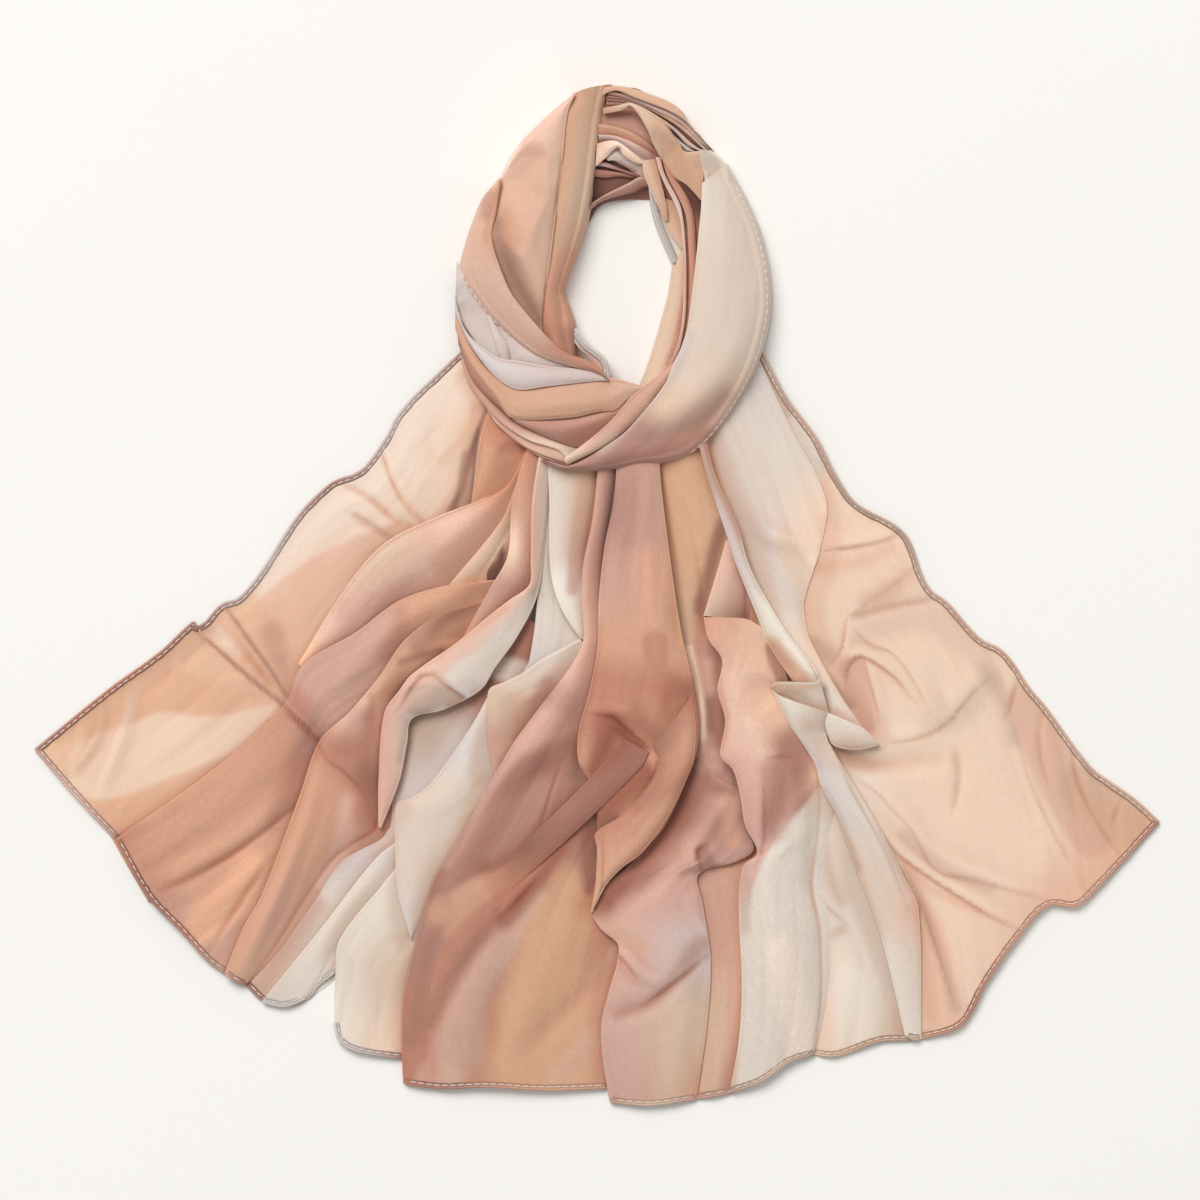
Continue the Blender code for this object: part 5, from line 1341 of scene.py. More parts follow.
def near_path(plan, path):
    """The distance from each plan position to a path, and how far along the path it is.

    The distance is negative to the right of the path.
    """
    points = smooth_path(spots(path), PATH_SAMPLES)
    starts, steps = points[:-1], np.diff(points, axis=0)
    offset = plan[..., None, :] - starts
    reach = np.maximum((steps**2).sum(axis=-1), 1e-9)
    share = ((offset * steps).sum(axis=-1) / reach).clip(0, 1)
    aside = offset - share[..., None] * steps
    far = np.linalg.norm(aside, axis=-1)
    side = np.sign(steps[:, 0] * aside[..., 1] - steps[:, 1] * aside[..., 0])
    best = far.argmin(axis=-1)[..., None]
    along = (best + np.take_along_axis(share, best, -1))[..., 0] / len(starts)
    return (np.take_along_axis(far, best, -1) * np.take_along_axis(side, best, -1))[..., 0], along


def crease_height(name, plan):
    """What the creases and steps of this fold add to its height, and the painted shadow line below its
    steps.
    """
    total = np.zeros(plan.shape[:-1])
    line = np.zeros(plan.shape[:-1])
    for stepped, table in ((False, CREASES), (True, STEPS)):
        for crease in map(Crease._make, table.get(name, ())):
            far, along = near_path(plan, crease.path)
            fade = np.sin(np.pi * along.clip(CREASE_END, 1 - CREASE_END)) ** 0.5
            bump = np.exp(-((far / crease.half_width) ** 2))
            if stepped:
                bump = bump * ease(far / STEP_WIDTH + 0.5)
                groove = np.exp(-(((far + STEP_GROOVE) / STEP_GROOVE) ** 2))
                line = np.maximum(line, fade * groove * min(1.0, crease.height / STEP_FULL))
            total += crease.height * fade * bump
    return total, line


def ripples(fold, plan, t, s, width):
    """The slight waves of thin cloth: they run along the fold and drift across it."""
    seed = float(sum(ord(letter) for letter in fold.name))
    across = s * width[:, None]
    total = np.zeros_like(across)
    slow, quick = RIPPLE_BENDS
    for k, (wave, drift, height) in enumerate(RIPPLES):
        phase = seed * (RIPPLE_PHASE + RIPPLE_SHIFT * k)
        bend = drift * np.sin(slow * t + phase) + 0.5 * drift * np.sin(quick * t + 2 * phase)
        total += height * np.sin(2 * np.pi * (across + bend) / wave + phase)
    mean, most, x_wave, y_wave = RIPPLE_SWELL
    swell = mean + most * np.sin(plan[..., 0] / x_wave + plan[..., 1] / y_wave + seed)
    return total * swell * np.minimum(1, width / RIPPLE_WIDTH)[:, None]


# ---------------------------------------------------------------- shells

Shell = namedtuple("Shell", "fold plan height along across inner shade")
# plan, height: the grid of points, station by station. along, across: its places in the fold,
# each from 0 to 1. inner: the first and last column of the upper face. shade: how deep a point
# lies in a trough or under a neighbour, from 0 to 1, painted into its colour as shade.


def side_columns(kind):
    """The role and value of the columns at one side, from the outermost in."""
    if kind == "lip":
        return [("under", u) for u in UNDER_PLACES] + [
            ("roll", angle) for angle in np.linspace(-np.pi / 2, np.pi / 2, ROLL_STEPS)
        ]
    if kind == "wall":
        return [("wall", angle) for angle in np.linspace(0, np.pi / 2, WALL_STEPS)]
    if kind == "tuck":
        return [("tuck", u) for u in TUCK_PLACES]
    return [("hem", 0.0)]


def side_offset(role, value, width):
    """How far inside its line a column lies, in plan."""
    roll = np.minimum(ROLL_WIDTH, SIDE_SHARE * width)
    if role == "under":
        return roll + value * np.minimum(UNDER_RUN, UNDER_SHARE * width)
    if role == "roll":
        return roll * (1 - np.cos(value))
    if role == "wall":
        groove = WALL_GROOVE * np.exp(-(((value - WALL_GROOVE_PLACE) / WALL_GROOVE_WIDTH) ** 2))
        return np.minimum(WALL_REACH, SIDE_SHARE * width) * (1 - np.cos(value)) + groove
    if role == "tuck":
        return -value * TUCK_RUN + 0 * width
    return 0 * width


def top_offset(role, width):
    """Where the upper face that a side column hangs from begins."""
    if role in ("under", "roll"):
        return np.minimum(ROLL_WIDTH, SIDE_SHARE * width)
    if role == "wall":
        return np.minimum(WALL_REACH, SIDE_SHARE * width)
    return 0 * width


def strip_plan(fold, stations, shares):
    """Plan positions at each station and each share across, in the patch of the four edges."""
    t = np.linspace(0, 1, stations)
    left = smooth_path(spots(fold.left), stations)
    right = smooth_path(spots(fold.right), stations)
    plan = left[:, None] * (1 - shares[:, :, None]) + right[:, None] * shares[:, :, None]
    for edge, weight in ((fold.start, 1 - t), (fold.end, t)):
        if not edge:
            continue
        curve = smooth_path(spots(edge), PATH_SAMPLES)
        places = np.linspace(0, 1, PATH_SAMPLES)
        bulge = curve - curve[0] - np.outer(places, curve[-1] - curve[0])
        inside = shares.clip(0, 1)
        added = np.stack([np.interp(inside, places, bulge[:, k]) for k in (0, 1)], axis=-1)
        plan = plan + added * (weight**3)[:, None, None]
    return plan


def lay_fold(fold, step):
    """The shell of one fold, before it is fitted under its neighbours."""
    longest = max(path_length(spots(fold.left)), path_length(spots(fold.right)))
    stations = int(np.clip(round(longest / step), *STATIONS))
    left = smooth_path(spots(fold.left), stations)
    right = smooth_path(spots(fold.right), stations)
    width = np.maximum(np.linalg.norm(right - left, axis=1), NARROWEST)
    left_kind, right_kind = fold.sides.split()
    firsts = side_columns(left_kind)
    lasts = side_columns(right_kind)[::-1]
    inner = int(np.clip(round(width.max() / step), *COLUMNS))
    first_share = top_offset(firsts[-1][0], width) / width
    last_share = 1 - top_offset(lasts[0][0], width) / width
    places = np.linspace(0, 1, inner + 2)[1:-1]
    middle = first_share[:, None] * (1 - places) + last_share[:, None] * places
    shares = [side_offset(role, value, width) / width for role, value in firsts]
    tops = [np.clip(top_offset(role, width) / width, 0, 1) for role, _ in firsts]
    shares += list(middle.T)
    tops += list(middle.T)
    shares += [1 - side_offset(role, value, width) / width for role, value in lasts]
    tops += [1 - top_offset(role, width) / width for role, _ in lasts]
    shares = np.stack(shares, axis=1)
    tops = np.stack(tops, axis=1)
    if fold.name in HEMMED:
        outside = shares - shares.clip(0, 1)
        shares = shares - outside * (np.linspace(0, 1, stations) ** HEM_SPREAD)[:, None]
    plan = strip_plan(fold, stations, shares)
    top_plan = strip_plan(fold, stations, tops)
    t = np.linspace(0, 1, stations)[:, None]
    height = three_way(fold.left_z, t) * (1 - tops) + three_way(fold.right_z, t) * tops
    arch = np.sin(np.pi * tops.clip(0.0, 1.0)).clip(0) ** ARCH_POWER
    height = height + three_way(fold.crown, t) * arch
    creased, line = crease_height(fold.name, top_plan)
    height = height + creased
    height = height + ripples(fold, top_plan, t, tops, width)
    roles = firsts + [("face", 0.0)] * inner + lasts
    deep = ROLL_DEPTH * np.minimum(1, width / ROLL_FULL)
    for k, (role, value) in enumerate(roles):
        if role == "roll":
            height[:, k] -= deep * (1 - np.sin(value))
        if role == "under":
            height[:, k] -= deep * 2 + UNDER_DROP * value
        if role == "wall":
            height[:, k] = LOWEST + (height[:, k] - LOWEST).clip(0) * np.sin(value)
        if role == "tuck":
            height[:, k] -= TUCK_DROP * value**1.5
    height = np.maximum(height, LOWEST)
    face = (len(firsts) - 1, len(firsts) + inner)
    middle = slice(face[0], face[1] + 1)
    # Painted shade: darker in troughs and lighter on ridges, faded beside a shoulder, with a painted
    # shadow line below each step.
    shade = np.zeros_like(height)
    shade[:, middle] = trough_shade(height[:, middle], step)
    eased = np.linspace(0, EASED_SHADE, EASED_COLUMNS)
    for kind, order in ((left_kind, 1), (right_kind, -1)):
        if kind == "wall":
            shade[:, middle][:, ::order][:, :EASED_COLUMNS] *= eased
    shade = np.clip(shade + line * STEP_SHADE, LIGHTEST, DARKEST)
    return Shell(fold, plan, height, t + 0 * shares, shares.clip(0, 1), face, shade)


def trough_shade(height, step):
    """How deep each point lies among its neighbours, near and wide, as painted shade; ridges come out
    below 0, as a painted highlight.
    """
    shade = np.zeros_like(height)
    for reach, depth, share in TROUGHS:
        mean = height
        for _ in range(int(max(1, round(2 * (reach / step) ** 2)))):
            padded = np.pad(mean, 1, mode="edge")
            mean = padded[:-2, 1:-1] + padded[2:, 1:-1] + padded[1:-1, :-2] + padded[1:-1, 2:]
            mean = mean / 4
        shade += share * np.clip((mean - height) / depth, LIGHTEST, 1)
    return shade


# ---------------------------------------------------------------- layers on each other


class Cover:
    """The lowest underside above each square of the plan, in millimetres."""

    def __init__(self):
        (x0, y0, _), (x1, y1, _) = CAD_BOX
        self.low = np.array([x0, y0]) / MM - COVER_MARGIN
        size = np.ceil((np.array([x1, y1]) / MM + COVER_MARGIN - self.low) / COVER_STEP)
        self.height = np.full(size.astype(int), CLEAR_SKY)
        self.slope = self.height

    def add(self, shell):
        """Lowers the cover to the underside of this shell's upper face."""
        first, last = shell.inner
        plan = shell.plan[:, first : last + 1]
        under = shell.height[:, first : last + 1] - LAYER_GAP
        shares = np.linspace(0, 1, COVER_SAMPLES, endpoint=False)
        for a in shares:
            for b in shares:
                spot = between(plan, a, b)
                level = between(under, a, b)
                cell = np.round((spot - self.low) / COVER_STEP).astype(int)
                cell = cell.clip(0, np.array(self.height.shape) - 1)
                np.minimum.at(self.height, (cell[..., 0], cell[..., 1]), level)

    def spread(self):
        """Slopes the cover up around its edges, so that the cloth dips softly under them."""
        slope = self.height.copy()
        for _ in range(int(COVER_REACH / COVER_STEP)):
            for dx, dy in ((1, 0), (0, 1), (1, 1), (1, -1)):
                rise = COVER_SLOPE * COVER_STEP * (dx * dx + dy * dy) ** 0.5
                for sign in (1, -1):
                    moved = np.roll(slope, (sign * dx, sign * dy), axis=(0, 1)) + rise
                    slope = np.minimum(slope, moved)
        self.slope = slope

    def over(self, plan):
        """The height of the cover at each plan position."""
        spot = (plan - self.low) / COVER_STEP
        spot = spot.clip(0, np.array(self.slope.shape) - WITHIN)
        cell = spot.astype(int)
        part = spot - cell
        total = 0
        for dx in (0, 1):
            for dy in (0, 1):
                weight = abs(1 - dx - part[..., 0]) * abs(1 - dy - part[..., 1])
                total = total + weight * self.slope[cell[..., 0] + dx, cell[..., 1] + dy]
        return total


def between(grid, a, b):
    """The grid's values at shares a and b of each of its cells."""
    along = grid[:-1] * (1 - a) + grid[1:] * a
    return along[:, :-1] * (1 - b) + along[:, 1:] * b


def soft_min(a, b, blend):
    """The lower of two heights, rounded where they meet."""
    share = np.clip(0.5 + 0.5 * (b - a) / blend, 0, 1)
    return b * (1 - share) + a * share - blend * share * (1 - share)


def sink_sides(shell, lowered):
    """Takes the turned-in edges down with the cloth above them."""
    first, last = shell.inner
    sunk = (shell.height - lowered)[:, first : last + 1]
    across = shell.across[:, first : last + 1]
    left = np.where(across <= shell.across[:, :1], sunk, 0).max(axis=1)
    right = np.where(across >= shell.across[:, -1:], sunk, 0).max(axis=1)
    for side, sink in ((slice(0, first), left), (slice(last + 1, None), right)):
        lowered[:, side] = np.minimum(lowered[:, side], shell.height[:, side] - sink[:, None])
    return lowered


def lay_all(step):
    """Every fold's shell, each fitted under those of a higher level."""
    cover = Cover()
    shells = {}
    for level in sorted({fold.level for fold in FOLDS}, reverse=True):
        laid = []
        for fold in FOLDS:
            if fold.level != level:
                continue
            shell = lay_fold(fold, step)
            above = cover.over(shell.plan)
            lowered = soft_min(shell.height, above, SOFT_BLEND)
            lowered = sink_sides(shell, lowered)
            lowered = np.maximum(lowered, np.minimum(shell.height, LOWEST))
            # Painted shade on cloth that lies close under a neighbour's edge.
            tucked = ease(1 - (above - lowered) / TUCKED_DEPTH)
            most = RING_TUCKED_SHADE if level > RING_LEVEL else TUCKED_SHADE
            shade = np.maximum(shell.shade, tucked * most)
            shell = shell._replace(height=lowered, shade=shade)
            shells[fold.name] = shell
            laid.append(shell)
        for shell in laid:
            cover.add(shell)
        cover.spread()
    return shells


# ---------------------------------------------------------------- print


def dye(name):
    """A dye's colour, linear."""
    code = DYES[name]
    parts = np.array([int(code[k : k + 2], 16) / 255 for k in (0, 2, 4)])
    return np.where(parts <= 0.04045, parts / 12.92, ((parts + 0.055) / 1.055) ** 2.4)


def shaded_print(shell):
    """The colour of each point of a shell: its bands along the fold, the dabs over them, then its
    painted shade, darker in troughs and lighter on ridges.
    """
    bands = [band.split() for band in BANDS[shell.fold.name].split(",")]
    stops = np.array([float(words[0]) for words in bands])
    t, s = shell.along, shell.across
    left = np.array([dye(words[1]) for words in bands])
    right = np.array([dye(words[-1]) for words in bands])
    place = np.interp(t, stops, np.arange(len(stops)))
    lower = np.minimum(place.astype(int), len(stops) - 2)
    part = ease(place - lower)[..., None]
    side = ease(s)[..., None]
    near = left[lower] * (1 - side) + right[lower] * side
    after = left[lower + 1] * (1 - side) + right[lower + 1] * side
    colour = near * (1 - part) + after * part
    for dab in map(Dab._make, DABS.get(shell.fold.name, ())):
        far, along = near_path(shell.plan, dab.path)
        half = dab.start_half * (1 - along) + dab.end_half * along
        weight = ease((half + dab.soft - abs(far)) / (2 * dab.soft)) * dab.strength
        colour = colour * (1 - weight[..., None]) + dye(dab.dye) * weight[..., None]
    return colour * (1 - np.outer(shell.shade.ravel(), SHADE_DEPTH)).reshape(colour.shape)


def opacity(shell):
    """How much the cloth hides at each point: folded stretches hide all."""
    for names, values in SHEERNESS:
        if shell.fold.name in names.split():
            return three_way(values, shell.along)
    return np.ones_like(shell.along)


# ---------------------------------------------------------------- meshes


def new_piece(name, points, faces, colours=None, cover=None):
    """A mesh object, smooth, with the print and its painted shade as a colour on its points."""
    mesh = bpy.data.meshes.new(name)
    mesh.from_pydata([tuple(p) for p in points], [], faces)
    mesh.shade_smooth()
    if colours is not None:
        data = mesh.color_attributes.new("dye", "FLOAT_COLOR", "POINT")
        flat = np.ones((len(points), 4), np.float32)
        flat[:, :3] = colours
        data.data.foreach_set("color", flat.ravel())
    if cover is not None:
        data = mesh.attributes.new("cover", "FLOAT", "POINT")
        data.data.foreach_set("value", np.asarray(cover, np.float32).ravel())
    mesh.update()
    piece = bpy.data.objects.new(name, mesh)
    bpy.context.scene.collection.objects.link(piece)
    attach(piece, "root")
    return piece


def grid_faces(stations, count):
    """The four-sided faces between a grid's points."""
    index = np.arange(stations * count).reshape(stations, count)
    quads = np.stack([index[:-1, :-1], index[1:, :-1], index[1:, 1:], index[:-1, 1:]], axis=-1)
    return quads.reshape(-1, 4).tolist()


def shell_grid(shell):
    """The shell's points in space, in millimetres."""
    return np.concatenate([shell.plan, shell.height[..., None]], axis=-1)


def add_fold(shell):
    """The piece of one fold, a thin sheet with its slot's material; a fold with a node of its own
    hides that node's part.
    """
    name = shell.fold.name
    node = NODE_OF.get(name, name)
    piece = new_piece(
        "cloth_" + name,
        shell_grid(shell).reshape(-1, 3) * MM,
        grid_faces(*shell.height.shape),
        shaded_print(shell).reshape(-1, 3),
        opacity(shell),
    )
    slot = SLOT_OF[node]
    piece.data.materials.append(cloth_material(slot))
    if node == name:
        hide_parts(node)


# ---------------------------------------------------------------- hems


def edge_line(shell, hem):
    """The line of a fold's edge or end, and the line a little way into the cloth."""
    first, last = shell.inner
    left_kind, right_kind = shell.fold.sides.split()
    first -= SHOULDER_COLUMNS * (left_kind == "wall")
    last += SHOULDER_COLUMNS * (right_kind == "wall")
    grid = shell_grid(shell)
    if hem.edge == "end":
        line, inside = grid[-1, first : last + 1], grid[-3, first : last + 1]
    elif hem.edge == "left":
        line, inside = grid[:, first], grid[:, first + 2]
    else:
        line, inside = grid[:, last], grid[:, last - 2]
    low, high = (int(round(share * (len(line) - 1))) for share in (hem.first, hem.last))
    return line[low : high + 1], inside[low : high + 1]


def hem_path(shell, hem, spacing):
    """Evenly spaced points along a hem, its tangents, and the directions into the cloth."""
    line, inside = edge_line(shell, hem)
    count = max(int(path_length(line) / spacing), 3)
    thinned = np.unique(np.linspace(0, len(line) - 1, min(len(line), HEM_KNOTS)).astype(int))
    path = smooth_path(line[thinned].tolist(), count)
    tangent = np.gradient(path, axis=0)
    tangent /= np.maximum(np.linalg.norm(tangent, axis=1), 1e-9)[:, None]
    normal = np.stack([-tangent[:, 1], tangent[:, 0], 0 * tangent[:, 0]], axis=1)
    normal /= np.maximum(np.linalg.norm(normal, axis=1), 1e-9)[:, None]
    inward = inside - line
    normal *= np.sign((normal[:, :2] @ inward[:, :2].mean(axis=0)).sum()) or 1.0
    reach = np.maximum(np.linalg.norm(inward[:, :2], axis=1), 0.5)
    rise = np.clip(inward[:, 2] / reach, -HEM_STEEPEST, HEM_STEEPEST)
    share = np.linspace(0, 1, len(rise))
    normal[:, 2] = np.interp(np.linspace(0, 1, count), share, rise)
    return path, tangent, normal


def add_hem(shell, hem, sizes):
    """The rolled hem along one edge."""
    wide = PER_METRE * sizes.hem_width
    path, _, normal = hem_path(shell, hem, HEM_SPACING)
    path[:, 2] = np.maximum(path[:, 2], LOWEST)
    names = hem.dyes.split()
    stops = np.linspace(0, 1, len(names))
    colours = np.array([dye(name) for name in names])
    share = np.linspace(0, 1, len(path))
    along = np.stack([np.interp(share, stops, colours[:, k]) for k in range(3)], axis=1)
    slow = np.sin(share * path_length(path) / HEM_SWELL_LENGTH)
    swell = 1 + HEM_SWELL * slow * np.sin(share * HEM_SWELL_TURNS)
    rings, painted_shading = [], []
    # Painted shade across the hem: each ring is the hem's dye times its factor from the profile.
    for place, rise, tint in HEM_PROFILE:
        across = (place * wide * swell - HEM_OVERHANG)[:, None] * normal
        rings.append(path + across + UP * (rise * HEM_HEIGHT * swell)[:, None])
        painted_shading.append(along * tint)
    points = np.stack(rings, axis=1).reshape(-1, 3)
    tinted = np.stack(painted_shading, axis=1).reshape(-1, 3)
    sides, last = len(HEM_PROFILE), (len(path) - 1) * len(HEM_PROFILE)
    faces = [tuple(range(sides)), tuple(last + k for k in range(sides))[::-1]]
    for start in range(0, last, sides):
        for k in range(sides):
            a, b = start + k, start + (k + 1) % sides
            faces.append((a, a + sides, b + sides, b))
    piece = new_piece("hem_" + hem.name, points * MM, faces, tinted, np.ones(len(points)))
    slot = SLOT_OF[NODE_OF.get(hem.fold, hem.fold)]
    piece.data.materials.append(cloth_material(slot))


def add_stitches(shell, hem, sizes):
    """A running line of thread stitches on a hem."""
    path, tangent, normal = hem_path(shell, hem, PER_METRE * sizes.stitch_pitch)
    if hem.dyes:
        centre = path + normal * (PER_METRE * sizes.hem_width * STITCH_PLACE - HEM_OVERHANG)
        centre[:, 2] = np.maximum(path[:, 2], LOWEST) + HEM_HEIGHT * STITCH_RISE
    else:
        centre = path + [0, 0, THREAD_RADIUS / 2]
    reach = PER_METRE / 2 * sizes.stitch_length
    points, faces = [], []
    angles = np.linspace(0, 2 * np.pi, STITCH_SIDES, endpoint=False)
    for spot, along, side in zip(centre[1:-1], tangent[1:-1], normal[1:-1]):
        start = len(points)
        for share, thick, lift in STITCH_SECTIONS:
            for a in angles:
                ring = (side * np.cos(a) + UP * np.sin(a)) * THREAD_RADIUS * thick
                points.append(spot + along * reach * share + ring + UP * lift)
        for i in range(len(STITCH_SECTIONS) - 1):
            for k in range(STITCH_SIDES):
                a = start + i * STITCH_SIDES + k
                b = start + i * STITCH_SIDES + (k + 1) % STITCH_SIDES
                faces.append((a, b, b + STITCH_SIDES, a + STITCH_SIDES))
    if not points:
        return
    piece = new_piece("stitches_" + hem.name, np.array(points) * MM, faces)
    piece.data.materials.append(thread_material())


# ---------------------------------------------------------------- materials

YARN_SHARE = 0.7  # how much the uneven yarns and the slubs add to the weave, and their mean sum
SLUB_SHARE = 0.35
MEAN_HEIGHT = 0.95
CREPE_RELIEF = 0.0006  # the height of the grain, and of the thread's twist, in metres
TWIST_RELIEF = 0.0002


def set_inputs(tree, node, inputs):
    """Sets each of these inputs of a node to a value, or links it to another node's output."""
    for name, value in inputs.items():
        if isinstance(value, bpy.types.NodeSocket):
            tree.links.new(value, node.inputs[name])
        else:
            node.inputs[name].default_value = value
    return node


def add_node(tree, kind, inputs=None, **settings):
    """A new shader node with these settings and inputs."""
    node = tree.nodes.new("ShaderNode" + kind)
    for name, value in settings.items():
        setattr(node, name, value)
    return set_inputs(tree, node, inputs or {})


def compute(tree, operation, *terms):
    """The result of one calculation with numbers and other nodes' outputs."""
    node = add_node(tree, "Math", dict(enumerate(terms)), operation=operation)
    return node.outputs["Value"]


def new_material(name, inputs):
    """A material, with what these fields set of its shader, and its node tree."""
    material = bpy.data.materials.new(name)
    material.use_nodes = True
    set_inputs(material.node_tree, material.node_tree.nodes["Principled BSDF"], inputs)
    return material, material.node_tree


def grain_group():
    """The crepe's grain: a fine two-way weave with uneven yarns, as a tint and a height."""
    name = "CrepeGrain"
    if name in bpy.data.node_groups:
        return bpy.data.node_groups[name]
    tree = bpy.data.node_groups.new(name, "ShaderNodeTree")
    face = tree.interface
    face.new_socket("Colour", in_out="INPUT", socket_type="NodeSocketColor")
    for label, value in (("Yarns per metre", 800.0), ("Tint", 0.1)):
        socket = face.new_socket(label, in_out="INPUT", socket_type="NodeSocketFloat")
        socket.default_value = value
    face.new_socket("Colour", in_out="OUTPUT", socket_type="NodeSocketColor")
    face.new_socket("Height", in_out="OUTPUT", socket_type="NodeSocketFloat")
    given = tree.nodes.new("NodeGroupInput").outputs
    yarns = given["Yarns per metre"]
    place = {"Vector": add_node(tree, "TexCoord").outputs["Object"]}
    yarn = add_node(tree, "TexNoise", {**place, "Scale": yarns, "Detail": 2.0, "Roughness": 0.6})
    slub = add_node(tree, "TexNoise", {**place, "Scale": 260.0, "Detail": 3.0})
    weave = add_node(tree, "TexVoronoi", {**place, "Scale": yarns, "Randomness": 0.6})
    fine, coarse = yarn.outputs["Fac"], slub.outputs["Fac"]
    mixed = compute(tree, "MULTIPLY_ADD", fine, YARN_SHARE, weave.outputs["Distance"])
    height = compute(tree, "MULTIPLY_ADD", coarse, SLUB_SHARE, mixed)
    centred = compute(tree, "SUBTRACT", height, MEAN_HEIGHT)
    scale = compute(tree, "MULTIPLY_ADD", centred, given["Tint"], 1.0)
    tinted = {"Vector": given["Colour"], "Scale": scale}
    tint = add_node(tree, "VectorMath", tinted, operation="SCALE").outputs["Vector"]
    set_inputs(tree, tree.nodes.new("NodeGroupOutput"), {"Colour": tint, "Height": height})
    return tree


Finish = namedtuple("Finish", "roughness sheen tint bump")
FINISHES = {
    "chiffon_cream": Finish(0.75, 0.2, 0.11, 0.14),
    "chiffon_lilac": Finish(0.75, 0.2, 0.15, 0.16),
    "chiffon_terracotta": Finish(0.78, 0.15, 0.2, 0.2),
    "chiffon_tan": Finish(0.78, 0.15, 0.18, 0.18),
    "chiffon_rose": Finish(0.78, 0.15, 0.2, 0.2),
    "chiffon_peach": Finish(0.75, 0.2, 0.13, 0.14),
}


def cloth_material(slot):
    """The chiffon of one slot: its print with painted shade and highlights, and how much it hides,
    come from the mesh.
    """
    name = "printed_" + slot
    if name in bpy.data.materials:
        return bpy.data.materials[name]
    finish = FINISHES[slot]
    material, tree = new_material(
        name,
        {
            "Roughness": finish.roughness,
            "Specular IOR Level": 0.25,
            "Sheen Weight": finish.sheen,
            "Sheen Roughness": 0.5,
        },
    )
    dyed = add_node(tree, "Attribute", attribute_name="dye")
    hides = add_node(tree, "Attribute", attribute_name="cover")
    grain = add_node(tree, "Group", node_tree=grain_group())
    set_inputs(tree, grain, {"Colour": dyed.outputs["Color"], "Tint": finish.tint})
    raised = {"Height": grain.outputs["Height"], "Strength": finish.bump, "Distance": CREPE_RELIEF}
    bump = add_node(tree, "Bump", raised)
    looks = {"Base Color": grain.outputs["Colour"], "Normal": bump.outputs["Normal"]}
    set_inputs(tree, tree.nodes["Principled BSDF"], {**looks, "Alpha": hides.outputs["Fac"]})
    return material


def add_ramp(tree, share, low, high):
    """The colour between two, linear ones, at a share that another node gives."""
    ramp = add_node(tree, "ValToRGB", {"Fac": share})
    for element, colour in zip(ramp.color_ramp.elements, (low, high)):
        element.color = (*colour, 1)
    return ramp.outputs["Color"]


def thread_material():
    """The pale, slightly shiny sewing thread, with its twist."""
    name = "sewing_thread"
    if name in bpy.data.materials:
        return bpy.data.materials[name]
    material, tree = new_material(name, {"Roughness": 0.45, "Sheen Weight": 0.2})
    place = add_node(tree, "TexCoord").outputs["Object"]
    wound = {"Vector": place, "Scale": 900.0}
    twist = add_node(tree, "TexWave", wound, bands_direction="DIAGONAL").outputs["Fac"]
    colour = add_ramp(tree, twist, dye("cream"), dye("ivory"))
    bump = add_node(tree, "Bump", {"Height": twist, "Strength": 0.3, "Distance": TWIST_RELIEF})
    looks = {"Base Color": colour, "Normal": bump.outputs["Normal"]}
    set_inputs(tree, tree.nodes["Principled BSDF"], looks)
    return material


# ---------------------------------------------------------------- the ring's hidden layers

CORE_OUTER = (
    (10, 322), (47, 306), (77, 280), (99, 241), (106, 192), (96, 150), (70, 108), (34, 91),
    (-11, 88), (-50, 108), (-79, 150), (-83, 199), (-70, 244), (-50, 283), (-21, 312),
)  # fmt: skip
CORE_INNER = (
    (16, 269), (37, 270), (44, 247), (55, 218), (51, 186), (41, 153), (28, 131),
    (5, 134), (-5, 150), (-20, 169), (-27, 199), (-17, 225), (-8, 254),
)  # fmt: skip


def add_core():
    """The layers hidden inside the ring, as one low rounded roll of cloth."""
    outer, inner = (
        smooth_path(edge + edge[:1], CORE_STATIONS + 1)[:-1] for edge in (CORE_OUTER, CORE_INNER)
    )
    rise, across, around = CORE_WAVE
    angles = np.linspace(np.pi, 0, CORE_SIDES)
    points = []
    for inside, outside in zip(inner, outer):
        middle, half = (inside + outside) / 2, (outside - inside) / 2
        for k, a in enumerate(angles):
            flat = middle + half * np.cos(a)
            wave = rise * np.sin(across * k + len(points) * around)
            points.append((*flat, LOWEST + (CORE_HEIGHT + wave) * np.sin(a) ** CORE_FULLNESS))
    points = np.array(points)
    faces = []
    for i in range(CORE_STATIONS):
        after = (i + 1) % CORE_STATIONS
        for k in range(CORE_SIDES - 1):
            a, b = i * CORE_SIDES + k, after * CORE_SIDES + k
            faces.append((a, b, b + 1, a + 1))
    colours = np.tile(dye("rose"), (len(points), 1))
    piece = new_piece("cloth_ring_core", points * MM, faces, colours, np.ones(len(points)))
    piece.data.materials.append(cloth_material(SLOT_OF["ring_core"]))
    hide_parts("ring_core")


# ---------------------------------------------------------------- operators


class ScarfSizes(bpy.types.PropertyGroup):
    """Sizes of the cloth and its sewing."""

    grid_step: bpy.props.FloatProperty(
        name="Grid step", description="Spacing of the cloth's points",
        default=0.0018, min=0.001, max=0.01, unit="LENGTH", precision=4,
    )
    hem_width: bpy.props.FloatProperty(
        name="Hem width", description="Width of the rolled hem",
        default=0.0042, min=0.001, max=0.01, unit="LENGTH", precision=4,
    )
    stitch_pitch: bpy.props.FloatProperty(
        name="Stitch pitch", description="From one stitch to the next",
        default=0.005, min=0.002, max=0.02, unit="LENGTH", precision=4,
    )
    stitch_length: bpy.props.FloatProperty(
        name="Stitch length", description="Length of the thread that shows",
        default=0.0044, min=0.001, max=0.02, unit="LENGTH", precision=4,
    )


